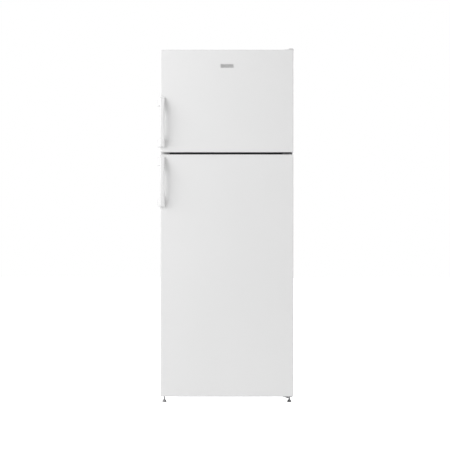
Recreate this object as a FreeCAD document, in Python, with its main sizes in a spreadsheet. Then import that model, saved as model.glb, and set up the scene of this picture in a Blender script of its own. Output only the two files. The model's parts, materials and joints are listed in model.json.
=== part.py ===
import FreeCAD, Part
import Sketcher
import math
import os
import re

from FreeCAD import Placement, Rotation, Vector

# A two-door top freezer refrigerator, millimetres, +Z up, the doors facing -Y.
# X = 0 is the middle of the doors, Z = 0 is the floor, Y = 0 is about the middle of the depth.

os.makedirs("parts", exist_ok=True)
doc = FreeCAD.newDocument("TopFreezerRefrigerator")

# ---------------------------------------------------------------- driving sizes

SIZES = {
    # cabinet
    "cabinet_side": 348, "cabinet_front": -258, "cabinet_back": 342,
    "cabinet_bottom": 50, "cabinet_top": 1862, "steel": 1, "shell_radius": 8,
    "flange_inner": 304, "flange_width": 44,
    "liner_wall": 1.5, "liner_radius": 12,
    "freezer_half": 283, "freezer_floor": 1356, "freezer_ceiling": 1800, "freezer_rear": 272,
    "fridge_half": 290, "fridge_floor": 112, "fridge_ceiling": 1285, "fridge_rear": 292,
    "hump_front": 126, "hump_top": 330, "bay_wall": 160, "bay_roof": 300,
    "mullion_low": 1289, "mullion_high": 1352,
    "ledge_depth": 9, "ledge_height": 8, "ledge_front": -120,
    # doors
    "door_half": 350, "door_front": -328, "door_back": -266, "door_radius": 6, "edge_radius": 2.5,
    "fridge_door_low": 42, "fridge_door_high": 1313.5,
    "freezer_door_low": 1325.5, "freezer_door_high": 1863.5,
    "cap_height": 6, "cap_tray": 14, "door_liner_wall": 1.5,
    "dyke_half": 268, "dyke_width": 24, "dyke_back": -232,
    "gasket_outer": 328, "gasket_width": 16, "gasket_back": -258.4,
    "hinge_x": 333, "hinge_y": -300, "pin_radius": 5, "pin_bore": 5.4, "pin_depth": 15,
    "rack_half": 242, "rack_front": -264, "rack_back": -152, "rack_wall": 2.5,
    "bin_back": -166, "bin_tall": 84, "upper_bin_low": 1600, "lower_bin_low": 1396,
    "dairy_low": 1056, "dairy_tall": 92, "middle_rack_low": 720, "middle_rack_tall": 96,
    "bottle_rack_low": 160, "bottle_rack_tall": 120, "lid_gap": 3, "lid_thick": 3,
    # handles
    "handle_length": 262, "handle_width": 25, "handle_overhang": 14, "handle_reach": 45,
    "pad_top": 46, "pad_bottom": 40, "pad_thick": 9, "pad_wrap": 30, "bow_thick": 15,
    "freezer_handle_low": 1352, "fridge_handle_low": 1039,
    "badge_half": 35, "badge_height": 18, "badge_thick": 2.4, "badge_drop": 85,
    # shelves and drawers
    "shelf_front": -130, "shelf_rear": 250, "glass": 4,
    "upper_shelf": 980, "lower_shelf": 690, "crisper_shelf": 400, "freezer_shelf_level": 1560,
    "drawer_wall": 2.5,
    # cooling circuit
    "compressor_x": 120, "compressor_y": 251, "compressor_radius": 76,
    "tray_top": 53, "grommet_radius": 11, "grommet_height": 12,
    "condenser_y": 356, "condenser_tube": 2.4, "condenser_wire": 0.8,
    "condenser_half": 285, "condenser_low": 420, "condenser_pitch": 60, "condenser_passes": 22,
    "fan_y": 206, "fan_z": 1708, "fan_radius": 50,
    "cover_front": 186, "cover_back": 189, "drain_x": 60, "drain_y": 318, "drain_bore": 9,
    # hinges, feet and rollers
    "plate": 3, "hinge_drop": 9, "foot_x": 333, "foot_y": -238, "foot_radius": 11.5, "stem_radius": 4.2,
    "roller_radius": 22, "roller_half": 11, "roller_x": 292, "roller_y": 300,
}

sheet = doc.addObject("Spreadsheet::Sheet", "Sizes")
for row, (alias, number) in enumerate(SIZES.items(), start=1):
    cell = "A%d" % row
    sheet.set(cell, str(number))
    sheet.setAlias(cell, alias)
doc.recompute()


def size(alias):
    """A size as a plain number, for shapes that are set directly."""
    return float(sheet.get(alias))


def bound(formula):
    """A formula in the sheet's names, as an expression of the document."""
    def with_sheet(word):
        name = word.group(0)
        return "Sizes." + name if name in SIZES else name
    return re.sub(r"[a-z][a-z_]*", with_sheet, str(formula))


# ---------------------------------------------------------------- building helpers

TURN = {
    "x": Rotation(Vector(0, 1, 0), 90),
    "y": Rotation(Vector(1, 0, 0), -90),
    "z": Rotation(),
}
PLANES = {"z": "XY_Plane", "y": "XZ_Plane", "x": "YZ_Plane"}
nodes = []


def node(thing, name):
    """Name a finished sub-part; its Label is its file name."""
    thing.Label = name
    nodes.append(thing)
    return thing


def place(thing, x=None, y=None, z=None):
    for axis, formula in (("x", x), ("y", y), ("z", z)):
        if formula is not None:
            thing.setExpression("Placement.Base." + axis, bound(formula))
    return thing


def block(x, y, z):
    """A box between two formulas along each axis."""
    box = doc.addObject("Part::Box", "Block")
    for name, axis, (low, high) in (("Length", "x", x), ("Width", "y", y), ("Height", "z", z)):
        box.setExpression(name, bound("(%s) - (%s)" % (high, low)))
        box.setExpression("Placement.Base." + axis, bound(low))
    return box


def rod(axis, radius, span, across):
    """A cylinder along one axis between two formulas, at the other two coordinates."""
    cylinder = doc.addObject("Part::Cylinder", "Rod")
    cylinder.setExpression("Radius", bound(radius))
    cylinder.setExpression("Height", bound("(%s) - (%s)" % (span[1], span[0])))
    cylinder.Placement = Placement(Vector(), TURN[axis])
    places = dict(zip([letter for letter in "xyz" if letter != axis], across))
    places[axis] = span[0]
    return place(cylinder, **places)


def fuse(*pieces):
    joined = doc.addObject("Part::MultiFuse", "Joined")
    joined.Shapes = list(pieces)
    return joined


def cut(base, *tools):
    result = doc.addObject("Part::Cut", "Cut")
    result.Base = base
    result.Tool = tools[0] if len(tools) == 1 else fuse(*tools)
    return result


def group(*pieces):
    """Separate solids that are handed out together."""
    bundle = doc.addObject("Part::Compound", "Group")
    bundle.Links = list(pieces)
    return bundle


def feature(shape):
    """A shape made with Part's own functions."""
    thing = doc.addObject("Part::Feature", "Shape")
    thing.Shape = shape
    return thing


def new_body(name=None):
    body = doc.addObject("PartDesign::Body", name or "Piece")
    if name:
        node(body, name)
    return body


def origin_feature(body, role):
    for part in body.Origin.OriginFeatures:
        if part.Role == role:
            return part
    raise ValueError(role)


def new_sketch(body, axis, height):
    """A sketch square to an axis, at a formula along it."""
    sketch = body.newObject("Sketcher::SketchObject", "Outline")
    sketch.AttachmentSupport = [(origin_feature(body, PLANES[axis]), "")]
    sketch.MapMode = "FlatFace"
    sign = "-1 * " if axis == "y" else ""
    sketch.setExpression("AttachmentOffset.Base.z", bound("%s(%s)" % (sign, height)))
    return sketch


def fix_point(sketch, geometry, point, formulas):
    for kind, formula in zip(("DistanceX", "DistanceY"), formulas):
        index = sketch.addConstraint(Sketcher.Constraint(kind, -1, 1, geometry, point, 1.0))
        sketch.setExpression("Constraints[%d]" % index, bound(formula))


def add_polygon(sketch, corners):
    """A closed outline of straight runs, every corner tied to formulas."""
    count = len(corners)
    start = sketch.GeometryCount
    for step in range(count):
        ends = []
        for corner in (step, (step + 1) % count):
            turn = 2 * math.pi * corner / count
            ends.append(Vector(10 * math.cos(turn), 10 * math.sin(turn), 0))
        sketch.addGeometry(Part.LineSegment(ends[0], ends[1]), False)
    for step in range(count):
        following = start + (step + 1) % count
        sketch.addConstraint(Sketcher.Constraint("Coincident", start + step, 2, following, 1))
    for step, corner in enumerate(corners):
        fix_point(sketch, start + step, 1, corner)


def add_rectangle(sketch, across, up):
    add_polygon(sketch, [(across[0], up[0]), (across[1], up[0]), (across[1], up[1]), (across[0], up[1])])


def add_circle(sketch, centre, radius):
    index = sketch.addGeometry(Part.Circle(Vector(1, 1, 0), Vector(0, 0, 1), 1.0), False)
    fix_point(sketch, index, 3, centre)
    tie = sketch.addConstraint(Sketcher.Constraint("Radius", index, 1.0))
    sketch.setExpression("Constraints[%d]" % tie, bound(radius))


def prism(body, axis, span, draw, remove=False):
    """Pad or pocket an outline between two formulas along an axis.

    The sketch plane square to Y faces -Y, so there the two ends change places."""
    low, high = span
    start = high if remove != (axis == "y") else low
    sketch = new_sketch(body, axis, start)
    draw(sketch)
    kind = "PartDesign::Pocket" if remove else "PartDesign::Pad"
    result = body.newObject(kind, "Cutout" if remove else "Solid")
    result.Profile = sketch
    result.setExpression("Length", bound("(%s) - (%s)" % (high, low)))
    return result


def rectangle_prism(body, x, y, z, axis="z", remove=False):
    """The prism whose outline is one rectangle."""
    spans = {"x": x, "y": y, "z": z}
    others = [spans[letter] for letter in "xyz" if letter != axis]
    return prism(body, axis, spans[axis], lambda sketch: add_rectangle(sketch, *others), remove)


def round_edges(body, radius, wanted):
    """Fillet the edges of the body so far that a test picks."""
    doc.recompute()
    base = body.Tip
    names = ["Edge%d" % (index + 1) for index, edge in enumerate(base.Shape.Edges) if wanted(edge)]
    fillet = body.newObject("PartDesign::Fillet", "Rounding")
    fillet.Base = (base, names)
    fillet.setExpression("Radius", bound(radius))
    return fillet


def runs_along(edge, axis):
    """True for a straight edge parallel to an axis."""
    if not isinstance(edge.Curve, Part.Line):
        return False
    direction = edge.Curve.Direction
    return abs(getattr(direction, axis)) > 0.999


def at(edge, **limits):
    """True when the edge's middle lies within the given limits, such as x=(low, high)."""
    middle = edge.BoundBox.Center
    return all(low <= getattr(middle, axis) <= high for axis, (low, high) in limits.items())


def revolve(body, corners, axis="z"):
    """Turn an outline of radius and distance along it once around the body's own axis."""
    sketch = new_sketch(body, {"z": "y", "x": "y", "y": "x"}[axis], 0)
    if axis != "z":
        corners = [(along, radius) for radius, along in corners]
    add_polygon(sketch, corners)
    turned = body.newObject("PartDesign::Revolution", "Turned")
    turned.Profile = sketch
    turned.ReferenceAxis = (origin_feature(body, axis.upper() + "_Axis"), [""])
    turned.Angle = 360
    return turned


def tub(name, x, y, z, wall, radius, floor=None):
    """An open-topped moulded tray with rounded upright corners."""
    body = new_body(name)
    rectangle_prism(body, x, y, z)
    inside = [("(%s) + %s" % (low, wall), "(%s) - %s" % (high, wall)) for low, high in (x, y)]
    bottom = "(%s) + %s" % (z[0], floor or wall)
    rectangle_prism(body, inside[0], inside[1], (bottom, z[1]), remove=True)
    height = body_height(body)
    round_edges(body, "(%s) - %s" % (radius, wall), lambda edge: (
        runs_along(edge, "z") and edge.Length < height - 1))
    round_edges(body, radius, lambda edge: runs_along(edge, "z") and edge.Length > height - 1)
    return body


def body_height(body):
    doc.recompute()
    return body.Tip.Shape.BoundBox.ZLength


def bent_tube(points, radius, bend):
    """A round bar along straight runs joined by tangent arcs."""
    corners = [Vector(*point) for point in points]
    edges = []
    start = corners[0]
    for before, corner, after in zip(corners, corners[1:], corners[2:]):
        back = (before - corner).normalize()
        onward = (after - corner).normalize()
        half_turn = (math.pi - back.getAngle(onward)) / 2
        reach = bend * math.tan(half_turn)
        entry = corner + back * reach
        leave = corner + onward * reach
        inward = (back + onward).normalize()
        crown = corner + inward * (bend / math.cos(half_turn) - bend)
        edges.append(Part.LineSegment(start, entry).toShape())
        edges.append(Part.Arc(entry, crown, leave).toShape())
        start = leave
    edges.append(Part.LineSegment(start, corners[-1]).toShape())
    path = Part.Wire(edges)
    direction = corners[1] - corners[0]
    ring = Part.Wire([Part.Circle(corners[0], direction, radius).toShape()])
    return path.makePipeShell([ring], True, False)


# ---------------------------------------------------------------- cabinet shell and insulation

def make_outer_shell():
    """The folded steel wrap: two sides and the top, with a turned-in front flange."""
    body = new_body("outer_shell")

    def wrap(sketch):
        add_polygon(sketch, [
            ("-cabinet_side", "cabinet_bottom"), ("-cabinet_side", "cabinet_top"),
            ("cabinet_side", "cabinet_top"), ("cabinet_side", "cabinet_bottom"),
            ("cabinet_side - steel", "cabinet_bottom"), ("cabinet_side - steel", "cabinet_top - steel"),
            ("steel - cabinet_side", "cabinet_top - steel"), ("steel - cabinet_side", "cabinet_bottom")])

    def flange(sketch):
        add_polygon(sketch, [
            ("-cabinet_side", "cabinet_bottom"), ("-cabinet_side", "cabinet_top"),
            ("cabinet_side", "cabinet_top"), ("cabinet_side", "cabinet_bottom"),
            ("flange_inner", "cabinet_bottom"), ("flange_inner", "cabinet_top - flange_width"),
            ("-flange_inner", "cabinet_top - flange_width"), ("-flange_inner", "cabinet_bottom")])

    prism(body, "y", ("cabinet_front", "cabinet_back"), wrap)
    prism(body, "y", ("cabinet_front", "cabinet_front + steel"), flange)
    outer, top = size("cabinet_side"), size("cabinet_top")
    for inset in (size("steel"), 0):
        round_edges(body, "shell_radius - %g" % inset, lambda edge: (
            runs_along(edge, "y") and edge.Length > 500
            and abs(abs(edge.BoundBox.Center.x) - (outer - inset)) < 0.01
            and abs(edge.BoundBox.Center.z - (top - inset)) < 0.01))


def make_rear_panel():
    """The flat back sheet, with two shallow pressed ribs that stiffen it."""
    body = new_body("rear_panel")
    side = "cabinet_side - steel - 0.2"
    rectangle_prism(body, ("-(%s)" % side, side), ("cabinet_back - steel", "cabinet_back"),
                    ("bay_roof + 0.2", "cabinet_top - shell_radius - 1"), axis="y")
    for centre in (-200, 200):
        rectangle_prism(body, (centre - 30, centre + 30), ("cabinet_back", "cabinet_back + 2"),
                        (400, 1780), axis="y")


def make_base_pan():
    """The bottom sheet: a front flange, the floor, and the step over the compressor bay."""
    body = new_body("base_pan")
    side = "cabinet_side - steel - 0.2"

    def step(sketch):
        add_polygon(sketch, [
            ("cabinet_front", "cabinet_bottom"), ("bay_wall", "cabinet_bottom"),
            ("bay_wall", "bay_roof - steel"), ("cabinet_back - steel", "bay_roof - steel"),
            ("cabinet_back - steel", "bay_roof"), ("bay_wall - steel", "bay_roof"),
            ("bay_wall - steel", "cabinet_bottom + steel"), ("cabinet_front", "cabinet_bottom + steel")])

    prism(body, "x", ("0.2 - flange_inner", "flange_inner - 0.2"), step)
    for low, high in ((side, "flange_inner - 0.2"), ("0.2 - flange_inner", "-(%s)" % side)):
        rectangle_prism(body, (high, low), ("cabinet_front + steel + 0.2", "bay_wall"),
                        ("cabinet_bottom", "cabinet_bottom + steel"))
        rectangle_prism(body, (high, low), ("bay_wall - steel", "bay_wall"),
                        ("cabinet_bottom", "bay_roof"))
        rectangle_prism(body, (high, low), ("bay_wall - steel", "cabinet_back - steel"),
                        ("bay_roof - steel", "bay_roof"))
    rectangle_prism(body, ("0.2 - flange_inner", "flange_inner - 0.2"),
                    ("cabinet_front", "cabinet_front + steel"),
                    ("cabinet_bottom", "cabinet_bottom + flange_width"), axis="y")
    prism(body, "z", ("bay_roof - steel - 1", "bay_roof + 1"),
          lambda sketch: add_circle(sketch, ("drain_x", "drain_y"), "drain_bore"), remove=True)


def make_liner(name, half, profile_outer, profile_inner, flange_z):
    """A formed plastic compartment, open at the front, with a flat rim round its mouth."""
    body = new_body(name)
    wall = "liner_wall"
    prism(body, "x", ("-%s - %s" % (half, wall), "%s + %s" % (half, wall)),
          lambda sketch: add_polygon(sketch, profile_outer))
    rectangle_prism(body, ("0.2 - flange_inner", "flange_inner - 0.2"),
                    ("cabinet_front", "cabinet_front + liner_wall"), flange_z, axis="y")
    prism(body, "x", ("-%s" % half, half), lambda sketch: add_polygon(sketch, profile_inner), remove=True)
    inner = size(half)
    round_edges(body, "liner_radius", lambda edge: (
        runs_along(edge, "y") and edge.Length > 60
        and abs(abs(edge.BoundBox.Center.x) - inner) < 0.01))
    return body


def add_ledges(body, half, levels, rear):
    """Shelf ledges along both side walls, each with its top at a shelf's level."""
    for sign, inward in (("-", "-%s + ledge_depth"), ("", "%s - ledge_depth")):
        wall_face = sign + half
        outward = "%s0.8" % ("-" if sign else "+")
        spans = (("%s %s" % (wall_face, outward)), inward % half)
        low, high = spans if sign else spans[::-1]
        for level in levels:
            rectangle_prism(body, (low, high), ("ledge_front", rear),
                            ("%s - ledge_height" % level, level))


def make_fridge_liner():
    outer = [("cabinet_front", "fridge_floor - liner_wall"),
             ("hump_front + liner_wall", "fridge_floor - liner_wall"),
             ("hump_front + liner_wall", "hump_top - liner_wall"),
             ("fridge_rear + liner_wall", "hump_top - liner_wall"),
             ("fridge_rear + liner_wall", "fridge_ceiling + liner_wall"),
             ("cabinet_front", "fridge_ceiling + liner_wall")]
    inner = [("cabinet_front", "fridge_floor"), ("hump_front", "fridge_floor"),
             ("hump_front", "hump_top"), ("fridge_rear", "hump_top"),
             ("fridge_rear", "fridge_ceiling"), ("cabinet_front", "fridge_ceiling")]
    flange = ("cabinet_bottom + flange_width + 0.2", "mullion_low - 0.2")
    body = make_liner("fridge_liner", "fridge_half", outer, inner, flange)
    add_ledges(body, "fridge_half", ("upper_shelf", "lower_shelf", "crisper_shelf"), "fridge_rear - 20")


def make_freezer_liner():
    outer = [("cabinet_front", "freezer_floor - liner_wall"),
             ("freezer_rear + liner_wall", "freezer_floor - liner_wall"),
             ("freezer_rear + liner_wall", "freezer_ceiling + liner_wall"),
             ("cabinet_front", "freezer_ceiling + liner_wall")]
    inner = [("cabinet_front", "freezer_floor"), ("freezer_rear", "freezer_floor"),
             ("freezer_rear", "freezer_ceiling"), ("cabinet_front", "freezer_ceiling")]
    flange = ("mullion_high + 0.2", "cabinet_top - flange_width - 0.2")
    body = make_liner("freezer_liner", "freezer_half", outer, inner, flange)
    add_ledges(body, "freezer_half", ("freezer_shelf_level",), "cover_front - 20")


def drain_route():
    x, y = size("drain_x"), size("drain_y")
    top = size("freezer_floor") - size("liner_wall")
    return [(x, 252, top - 0.4), (x, 252, top - 26), (x, y, top - 62), (x, y, size("bay_roof") - 8)]


def make_cabinet_foam():
    """The foamed insulation that fills the walls, hollow where the liners and the drain hose are."""
    profile = new_body()
    inset = "(steel + 0.2)"

    def side_view(sketch):
        add_polygon(sketch, [
            ("cabinet_front + 2", "cabinet_bottom + %s" % inset),
            ("bay_wall - %s" % inset, "cabinet_bottom + %s" % inset),
            ("bay_wall - %s" % inset, "bay_roof + 0.2"), ("cabinet_back - %s" % inset, "bay_roof + 0.2"),
            ("cabinet_back - %s" % inset, "cabinet_top - %s" % inset),
            ("cabinet_front + 2", "cabinet_top - %s" % inset)])

    prism(profile, "x", ("%s - cabinet_side" % inset, "cabinet_side - %s" % inset), side_view)
    round_edges(profile, "shell_radius", lambda edge: runs_along(edge, "y") and at(edge, z=(1800, 1900)))
    gap = "liner_wall + 0.2"
    front = "cabinet_front - 1"
    freezer = block(("-freezer_half - (%s)" % gap, "freezer_half + %s" % gap),
                    (front, "freezer_rear + %s" % gap),
                    ("freezer_floor - (%s)" % gap, "freezer_ceiling + %s" % gap))
    fridge_side = ("-fridge_half - (%s)" % gap, "fridge_half + %s" % gap)
    above_hump = block(fridge_side, (front, "fridge_rear + %s" % gap),
                       ("hump_top - (%s)" % gap, "fridge_ceiling + %s" % gap))
    low_part = block(fridge_side, (front, "hump_front + %s" % gap),
                     ("fridge_floor - (%s)" % gap, "hump_top"))
    channel = feature(bent_tube(drain_route(), size("drain_bore") + 0.3, 24))
    node(cut(profile, freezer, above_hump, low_part, channel), "cabinet_foam")


def make_mullion_cover():
    """The steel strip between the two compartments, which both gaskets seal on."""
    body = new_body("mullion_cover")
    rectangle_prism(body, ("0.2 - flange_inner", "flange_inner - 0.2"),
                    ("cabinet_front", "cabinet_front + steel"), ("mullion_low", "mullion_high"), axis="y")


# ---------------------------------------------------------------- compressor bay and cooling circuit

def make_compressor_tray():
    """The rear cross plate that carries the compressor, with folded ears for the rollers."""
    side = "cabinet_side - steel - 2"
    plate = block(("-(%s)" % side, side), ("bay_wall + 2", "cabinet_back - 6"), ("tray_top - 2", "tray_top"))
    ears = []
    axles = []
    for sign in (-1, 1):
        centre = "%d * roller_x" % sign
        for offset in (-1, 1):
            middle = "%s + %d * (roller_half + 2.5)" % (centre, offset)
            ears.append(block(("%s - 1" % middle, "%s + 1" % middle), ("roller_y - 16", "roller_y + 16"),
                              ("roller_radius - 8", "tray_top - 1.9")))
        axles.append(rod("x", 3.8, ("%s - roller_half - 5" % centre, "%s + roller_half + 5" % centre),
                         ("roller_y", "roller_radius")))
    node(fuse(plate, *ears, *axles), "compressor_tray")


def make_compressor():
    """The domed hermetic compressor on its foot plate, with the plastic relay cover on its side."""
    shell = new_body()
    radius = size("compressor_radius")
    feet_top = size("tray_top") + size("grommet_height") + 3
    height = 172

    turned = [(0, 0), ("compressor_radius - 22", 0), ("compressor_radius - 6", 12), ("compressor_radius", 34),
              ("compressor_radius", 96), ("compressor_radius + 3", 98), ("compressor_radius + 3", 104),
              ("compressor_radius", 106), ("compressor_radius - 4", 128), ("compressor_radius - 18", 152),
              ("compressor_radius - 42", height - 4), (0, height)]
    revolve(shell, turned)
    place(shell, "compressor_x", "compressor_y", feet_top)
    foot_plate = block(("compressor_x - 96", "compressor_x + 96"), ("compressor_y - 62", "compressor_y + 62"),
                       (feet_top - 3, feet_top))
    holes = [rod("z", 6, (feet_top - 5, feet_top + 5), at_grommet) for at_grommet in grommet_places()]
    relay = block(("compressor_x - %g" % (radius + 40), "compressor_x - %g" % (radius + 3.4)),
                  ("compressor_y - 30", "compressor_y + 30"), (feet_top + 50, feet_top + 122))
    node(group(shell, cut(foot_plate, *holes), relay), "compressor")


def grommet_places():
    return [("compressor_x + %d" % (side * 84), "compressor_y + %d" % (depth * 50))
            for side in (-1, 1) for depth in (-1, 1)]


def make_grommets():
    pieces = []
    for place_at in grommet_places():
        collar = rod("z", "grommet_radius", ("tray_top", "tray_top + grommet_height"), place_at)
        neck = rod("z", 5.8, ("tray_top + grommet_height", "tray_top + grommet_height + 5"), place_at)
        pieces.append(fuse(collar, neck))
    node(group(*pieces), "compressor_grommets")


def make_condenser():
    """A flat serpentine of steel tube with upright wires welded across it, on four stand-off blocks."""
    y, low, pitch = size("condenser_y"), size("condenser_low"), size("condenser_pitch")
    half, passes = size("condenser_half"), int(size("condenser_passes"))
    bend = pitch / 2 - 1
    points = []
    for step in range(passes):
        side = 1 if step % 2 else -1
        level = low + pitch * step
        points.append((-side * half, y, level))
        points.append((side * half, y, level))
    tube = bent_tube(points[1:-1], size("condenser_tube"), bend)
    wire = size("condenser_wire")
    top = low + pitch * (passes - 1)
    back = y + size("condenser_tube") + wire + 0.1
    wires = [Part.makeCylinder(wire, top - low + 24, Vector(x, back, low - 12))
             for x in range(-240, 241, 20)]
    blocks = []
    for side in (-1, 1):
        for level in (low + pitch * 2, top - pitch * 2):
            blocks.append(Part.makeBox(18, y - size("condenser_tube") - size("cabinet_back") - 0.2, 14,
                                       Vector(side * 262 - 9, size("cabinet_back") + 0.1, level - 7)))
    node(feature(Part.makeCompound([tube] + wires + blocks)), "condenser")


def make_refrigerant_pipes():
    """The copper lines in the bay and the filter drier."""
    x, y = size("compressor_x"), size("compressor_y")
    side = x - size("compressor_radius") - 4
    discharge = bent_tube([(x + size("compressor_radius") + 0.6, y, 130), (x + 120, y, 130),
                           (x + 120, y + 60, 130), (x + 120, y + 60, 240)], 3, 12)
    suction = bent_tube([(x, y - size("compressor_radius") - 0.6, 140), (x, y - 84, 140),
                         (x - 170, y - 84, 140), (x - 170, y - 84, 296)], 4, 7)
    drier_x, drier_y = side - 120, y + 20
    barrel = Part.makeCylinder(9, 90, Vector(drier_x, drier_y, 120))
    necks = [Part.makeCone(9, 3, 12, Vector(drier_x, drier_y, 210)),
             Part.makeCone(3, 9, 12, Vector(drier_x, drier_y, 108)),
             Part.makeCylinder(3, 50, Vector(drier_x, drier_y, 222))]
    drier = barrel.multiFuse(necks).removeSplitter()
    node(feature(Part.makeCompound([discharge, suction, drier])), "refrigerant_pipes")


def make_defrost_drain():
    """The hose from the evaporator to the pan above the compressor, where the water dries off."""
    hose = feature(bent_tube(drain_route(), size("drain_bore") - 0.5, 24))
    hollow = feature(bent_tube(drain_route(), size("drain_bore") - 2.5, 24))
    pan = block((-30, 210), ("bay_wall + 8", "cabinet_back - 8"), (252, 286))
    inside = block((-28, 208), ("bay_wall + 10", "cabinet_back - 10"), (254, 287))
    node(group(cut(hose, hollow), cut(pan, inside)), "defrost_drain")


def make_evaporator():
    """Upright aluminium fins on a serpentine tube, with the sheathed defrost heater under them."""
    front, back = size("cover_back") + 12, size("freezer_rear") - 10
    middle = (front + back) / 2
    low, high, half = 1420, 1620, 210
    levels = [low + 25 + 50 * step for step in range(4)]
    fin = Part.makeBox(0.6, back - front, high - low, Vector(0, front, low))
    holes = [Part.makeCylinder(4.5, 4, Vector(-2, middle, level), Vector(1, 0, 0)) for level in levels]
    fin = fin.cut(Part.makeCompound(holes))
    fins = [fin.translated(Vector(x, 0, 0)) for x in range(-half, half + 1, 20)]
    points = []
    for step, level in enumerate(levels):
        side = 1 if step % 2 else -1
        points.append((-side * (half + 30), middle, level))
        points.append((side * (half + 30), middle, level))
    tube = bent_tube(points, 4, 24)
    heater_z = low - 14
    heater = bent_tube([(-half, middle, heater_z), (half, middle, heater_z), (half, middle - 24, heater_z)],
                       3.2, 10)
    node(feature(Part.makeCompound(fins + [tube, heater])), "evaporator")


def make_evaporator_cover():
    """The freezer's back wall, with the fan's mouth, air slots and the control's slot."""
    body = new_body("evaporator_cover")
    rectangle_prism(body, ("-freezer_half + 1.5", "freezer_half - 1.5"), ("cover_front", "cover_back"),
                    ("freezer_floor + 1.5", "freezer_ceiling - 1.5"), axis="y")
    round_edges(body, "liner_radius + 1", lambda edge: runs_along(edge, "y"))

    def openings(sketch):
        add_circle(sketch, (0, "fan_z"), "fan_radius + 6")
        add_rectangle(sketch, (-60, 60), (1487, 1493))
        for column in range(8):
            left = -228 + column * 60
            add_rectangle(sketch, (left, left + 40), (1374, 1382))
            add_rectangle(sketch, (left, left + 40), (1390, 1398))

    prism(body, "y", ("cover_front", "cover_back"), openings, remove=True)

    def grille(sketch):
        for height in range(-48, 49, 16):
            reach = math.sqrt((size("fan_radius") + 7) ** 2 - height ** 2)
            add_rectangle(sketch, (-reach, reach), ("fan_z + %d" % (height - 2), "fan_z + %d" % (height + 2)))

    prism(body, "y", ("cover_front", "cover_front + 2"), grille)


def make_fan_motor():
    """The motor on a cross bar held off the cover by two posts."""
    motor = rod("y", 26, ("fan_y + 20", "fan_y + 52"), (0, "fan_z"))
    shaft = rod("y", 2, ("fan_y - 5", "fan_y + 20"), (0, "fan_z"))
    bar = block((-84, 84), ("fan_y + 16", "fan_y + 20"), ("fan_z - 8", "fan_z + 8"))
    posts = [block((side * 78 - 6, side * 78 + 6), ("cover_back", "fan_y + 16"), ("fan_z - 8", "fan_z + 8"))
             for side in (-1, 1)]
    node(fuse(motor, shaft, bar, *posts), "fan_motor")


def make_evaporator_fan():
    """Five pitched blades on a hub."""
    body = new_body("evaporator_fan")
    prism(body, "y", (-8, 10), lambda sketch: add_circle(sketch, (0, 0), 13))
    prism(body, "y", (-6, 10), lambda sketch: add_circle(sketch, (0, 0), 2.3), remove=True)

    def blade(sketch):
        add_polygon(sketch, [(-12, -6), (-10, -7), (12, 6), (10, 7)])

    blade_pad = prism(body, "z", (11, "fan_radius"), blade)
    doc.recompute()
    pattern = body.newObject("PartDesign::PolarPattern", "Blades")
    pattern.Originals = [blade_pad]
    pattern.Axis = (origin_feature(body, "Y_Axis"), [""])
    pattern.Angle = 360
    pattern.Occurrences = 5
    body.Tip = pattern
    place(body, 0, "fan_y", "fan_z")


def make_bay_cover():
    """The louvred panel behind the compressor."""
    body = new_body("bay_cover")
    side = "cabinet_side - steel - 3"
    rectangle_prism(body, ("-(%s)" % side, side), ("cabinet_back - 5", "cabinet_back - 3.8"),
                    ("tray_top + 2", "bay_roof - 3"), axis="y")

    def louvres(sketch):
        for column in range(-6, 7):
            if column == -5:
                continue
            for low in (90, 190):
                add_rectangle(sketch, (column * 50 - 4, column * 50 + 4), (low, low + 64))
        add_circle(sketch, (-250, 130), 9)

    prism(body, "y", ("cabinet_back - 5", "cabinet_back - 3.8"), louvres, remove=True)


def make_power_inlet():
    """The moulded gland in the bay cover where the mains lead would enter."""
    body = new_body("power_inlet")
    flange_y = size("cabinet_back") - 3.7
    revolve(body, [(3.5, -6), (8.7, -6), (8.7, 0), (14, 0), (13, 4), (7, 6), (6, 16), (3.5, 16)], axis="y")
    place(body, -250, flange_y, 130)


# ---------------------------------------------------------------- inside the two compartments

def make_air_duct():
    """The duct cover up the fridge's back wall, with four air mouths."""
    body = new_body("fridge_air_duct")
    rectangle_prism(body, (-92, 92), ("fridge_rear - 28", "fridge_rear - 0.3"), (708, 1214), axis="y")
    round_edges(body, 10, lambda edge: runs_along(edge, "z") and at(edge, y=(200, 270)))
    rectangle_prism(body, (-89, 89), ("fridge_rear - 25", "fridge_rear"), (711, 1211), axis="y", remove=True)

    def mouths(sketch):
        for low in (760, 870, 1040, 1150):
            add_rectangle(sketch, (-62, -14), (low, low + 12))
            add_rectangle(sketch, (14, 62), (low, low + 12))

    prism(body, "y", ("fridge_rear - 30", "fridge_rear - 20"), mouths, remove=True)


def make_control_box():
    """The control housing on the fridge's ceiling, hollow from above, with a bore for the knob."""
    body = new_body("control_box")
    top = "fridge_ceiling - 0.4"
    rectangle_prism(body, (-140, 140), (-128, 120), ("fridge_ceiling - 58", top))
    round_edges(body, 9, lambda edge: runs_along(edge, "z"))
    rectangle_prism(body, (-137, 137), (-125, 117), ("fridge_ceiling - 55", top), remove=True)
    prism(body, "y", (-130, -120), lambda sketch: add_circle(
        sketch, (78, "fridge_ceiling - 30"), 4.6), remove=True)


def make_knob():
    """The temperature knob: a grooved skirt, a finger bar and a stub shaft."""
    body = new_body("thermostat_knob")
    revolve(body, [(0, -15), (8, -15), (14, -13), (18, -4), (18.5, -0.5), (4, -0.5), (4, 8), (0, 8)],
            axis="y")
    rectangle_prism(body, (-2.5, 2.5), (-21, -12), (-13, 13), axis="y")
    place(body, 78, -128, "fridge_ceiling - 30")


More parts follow.
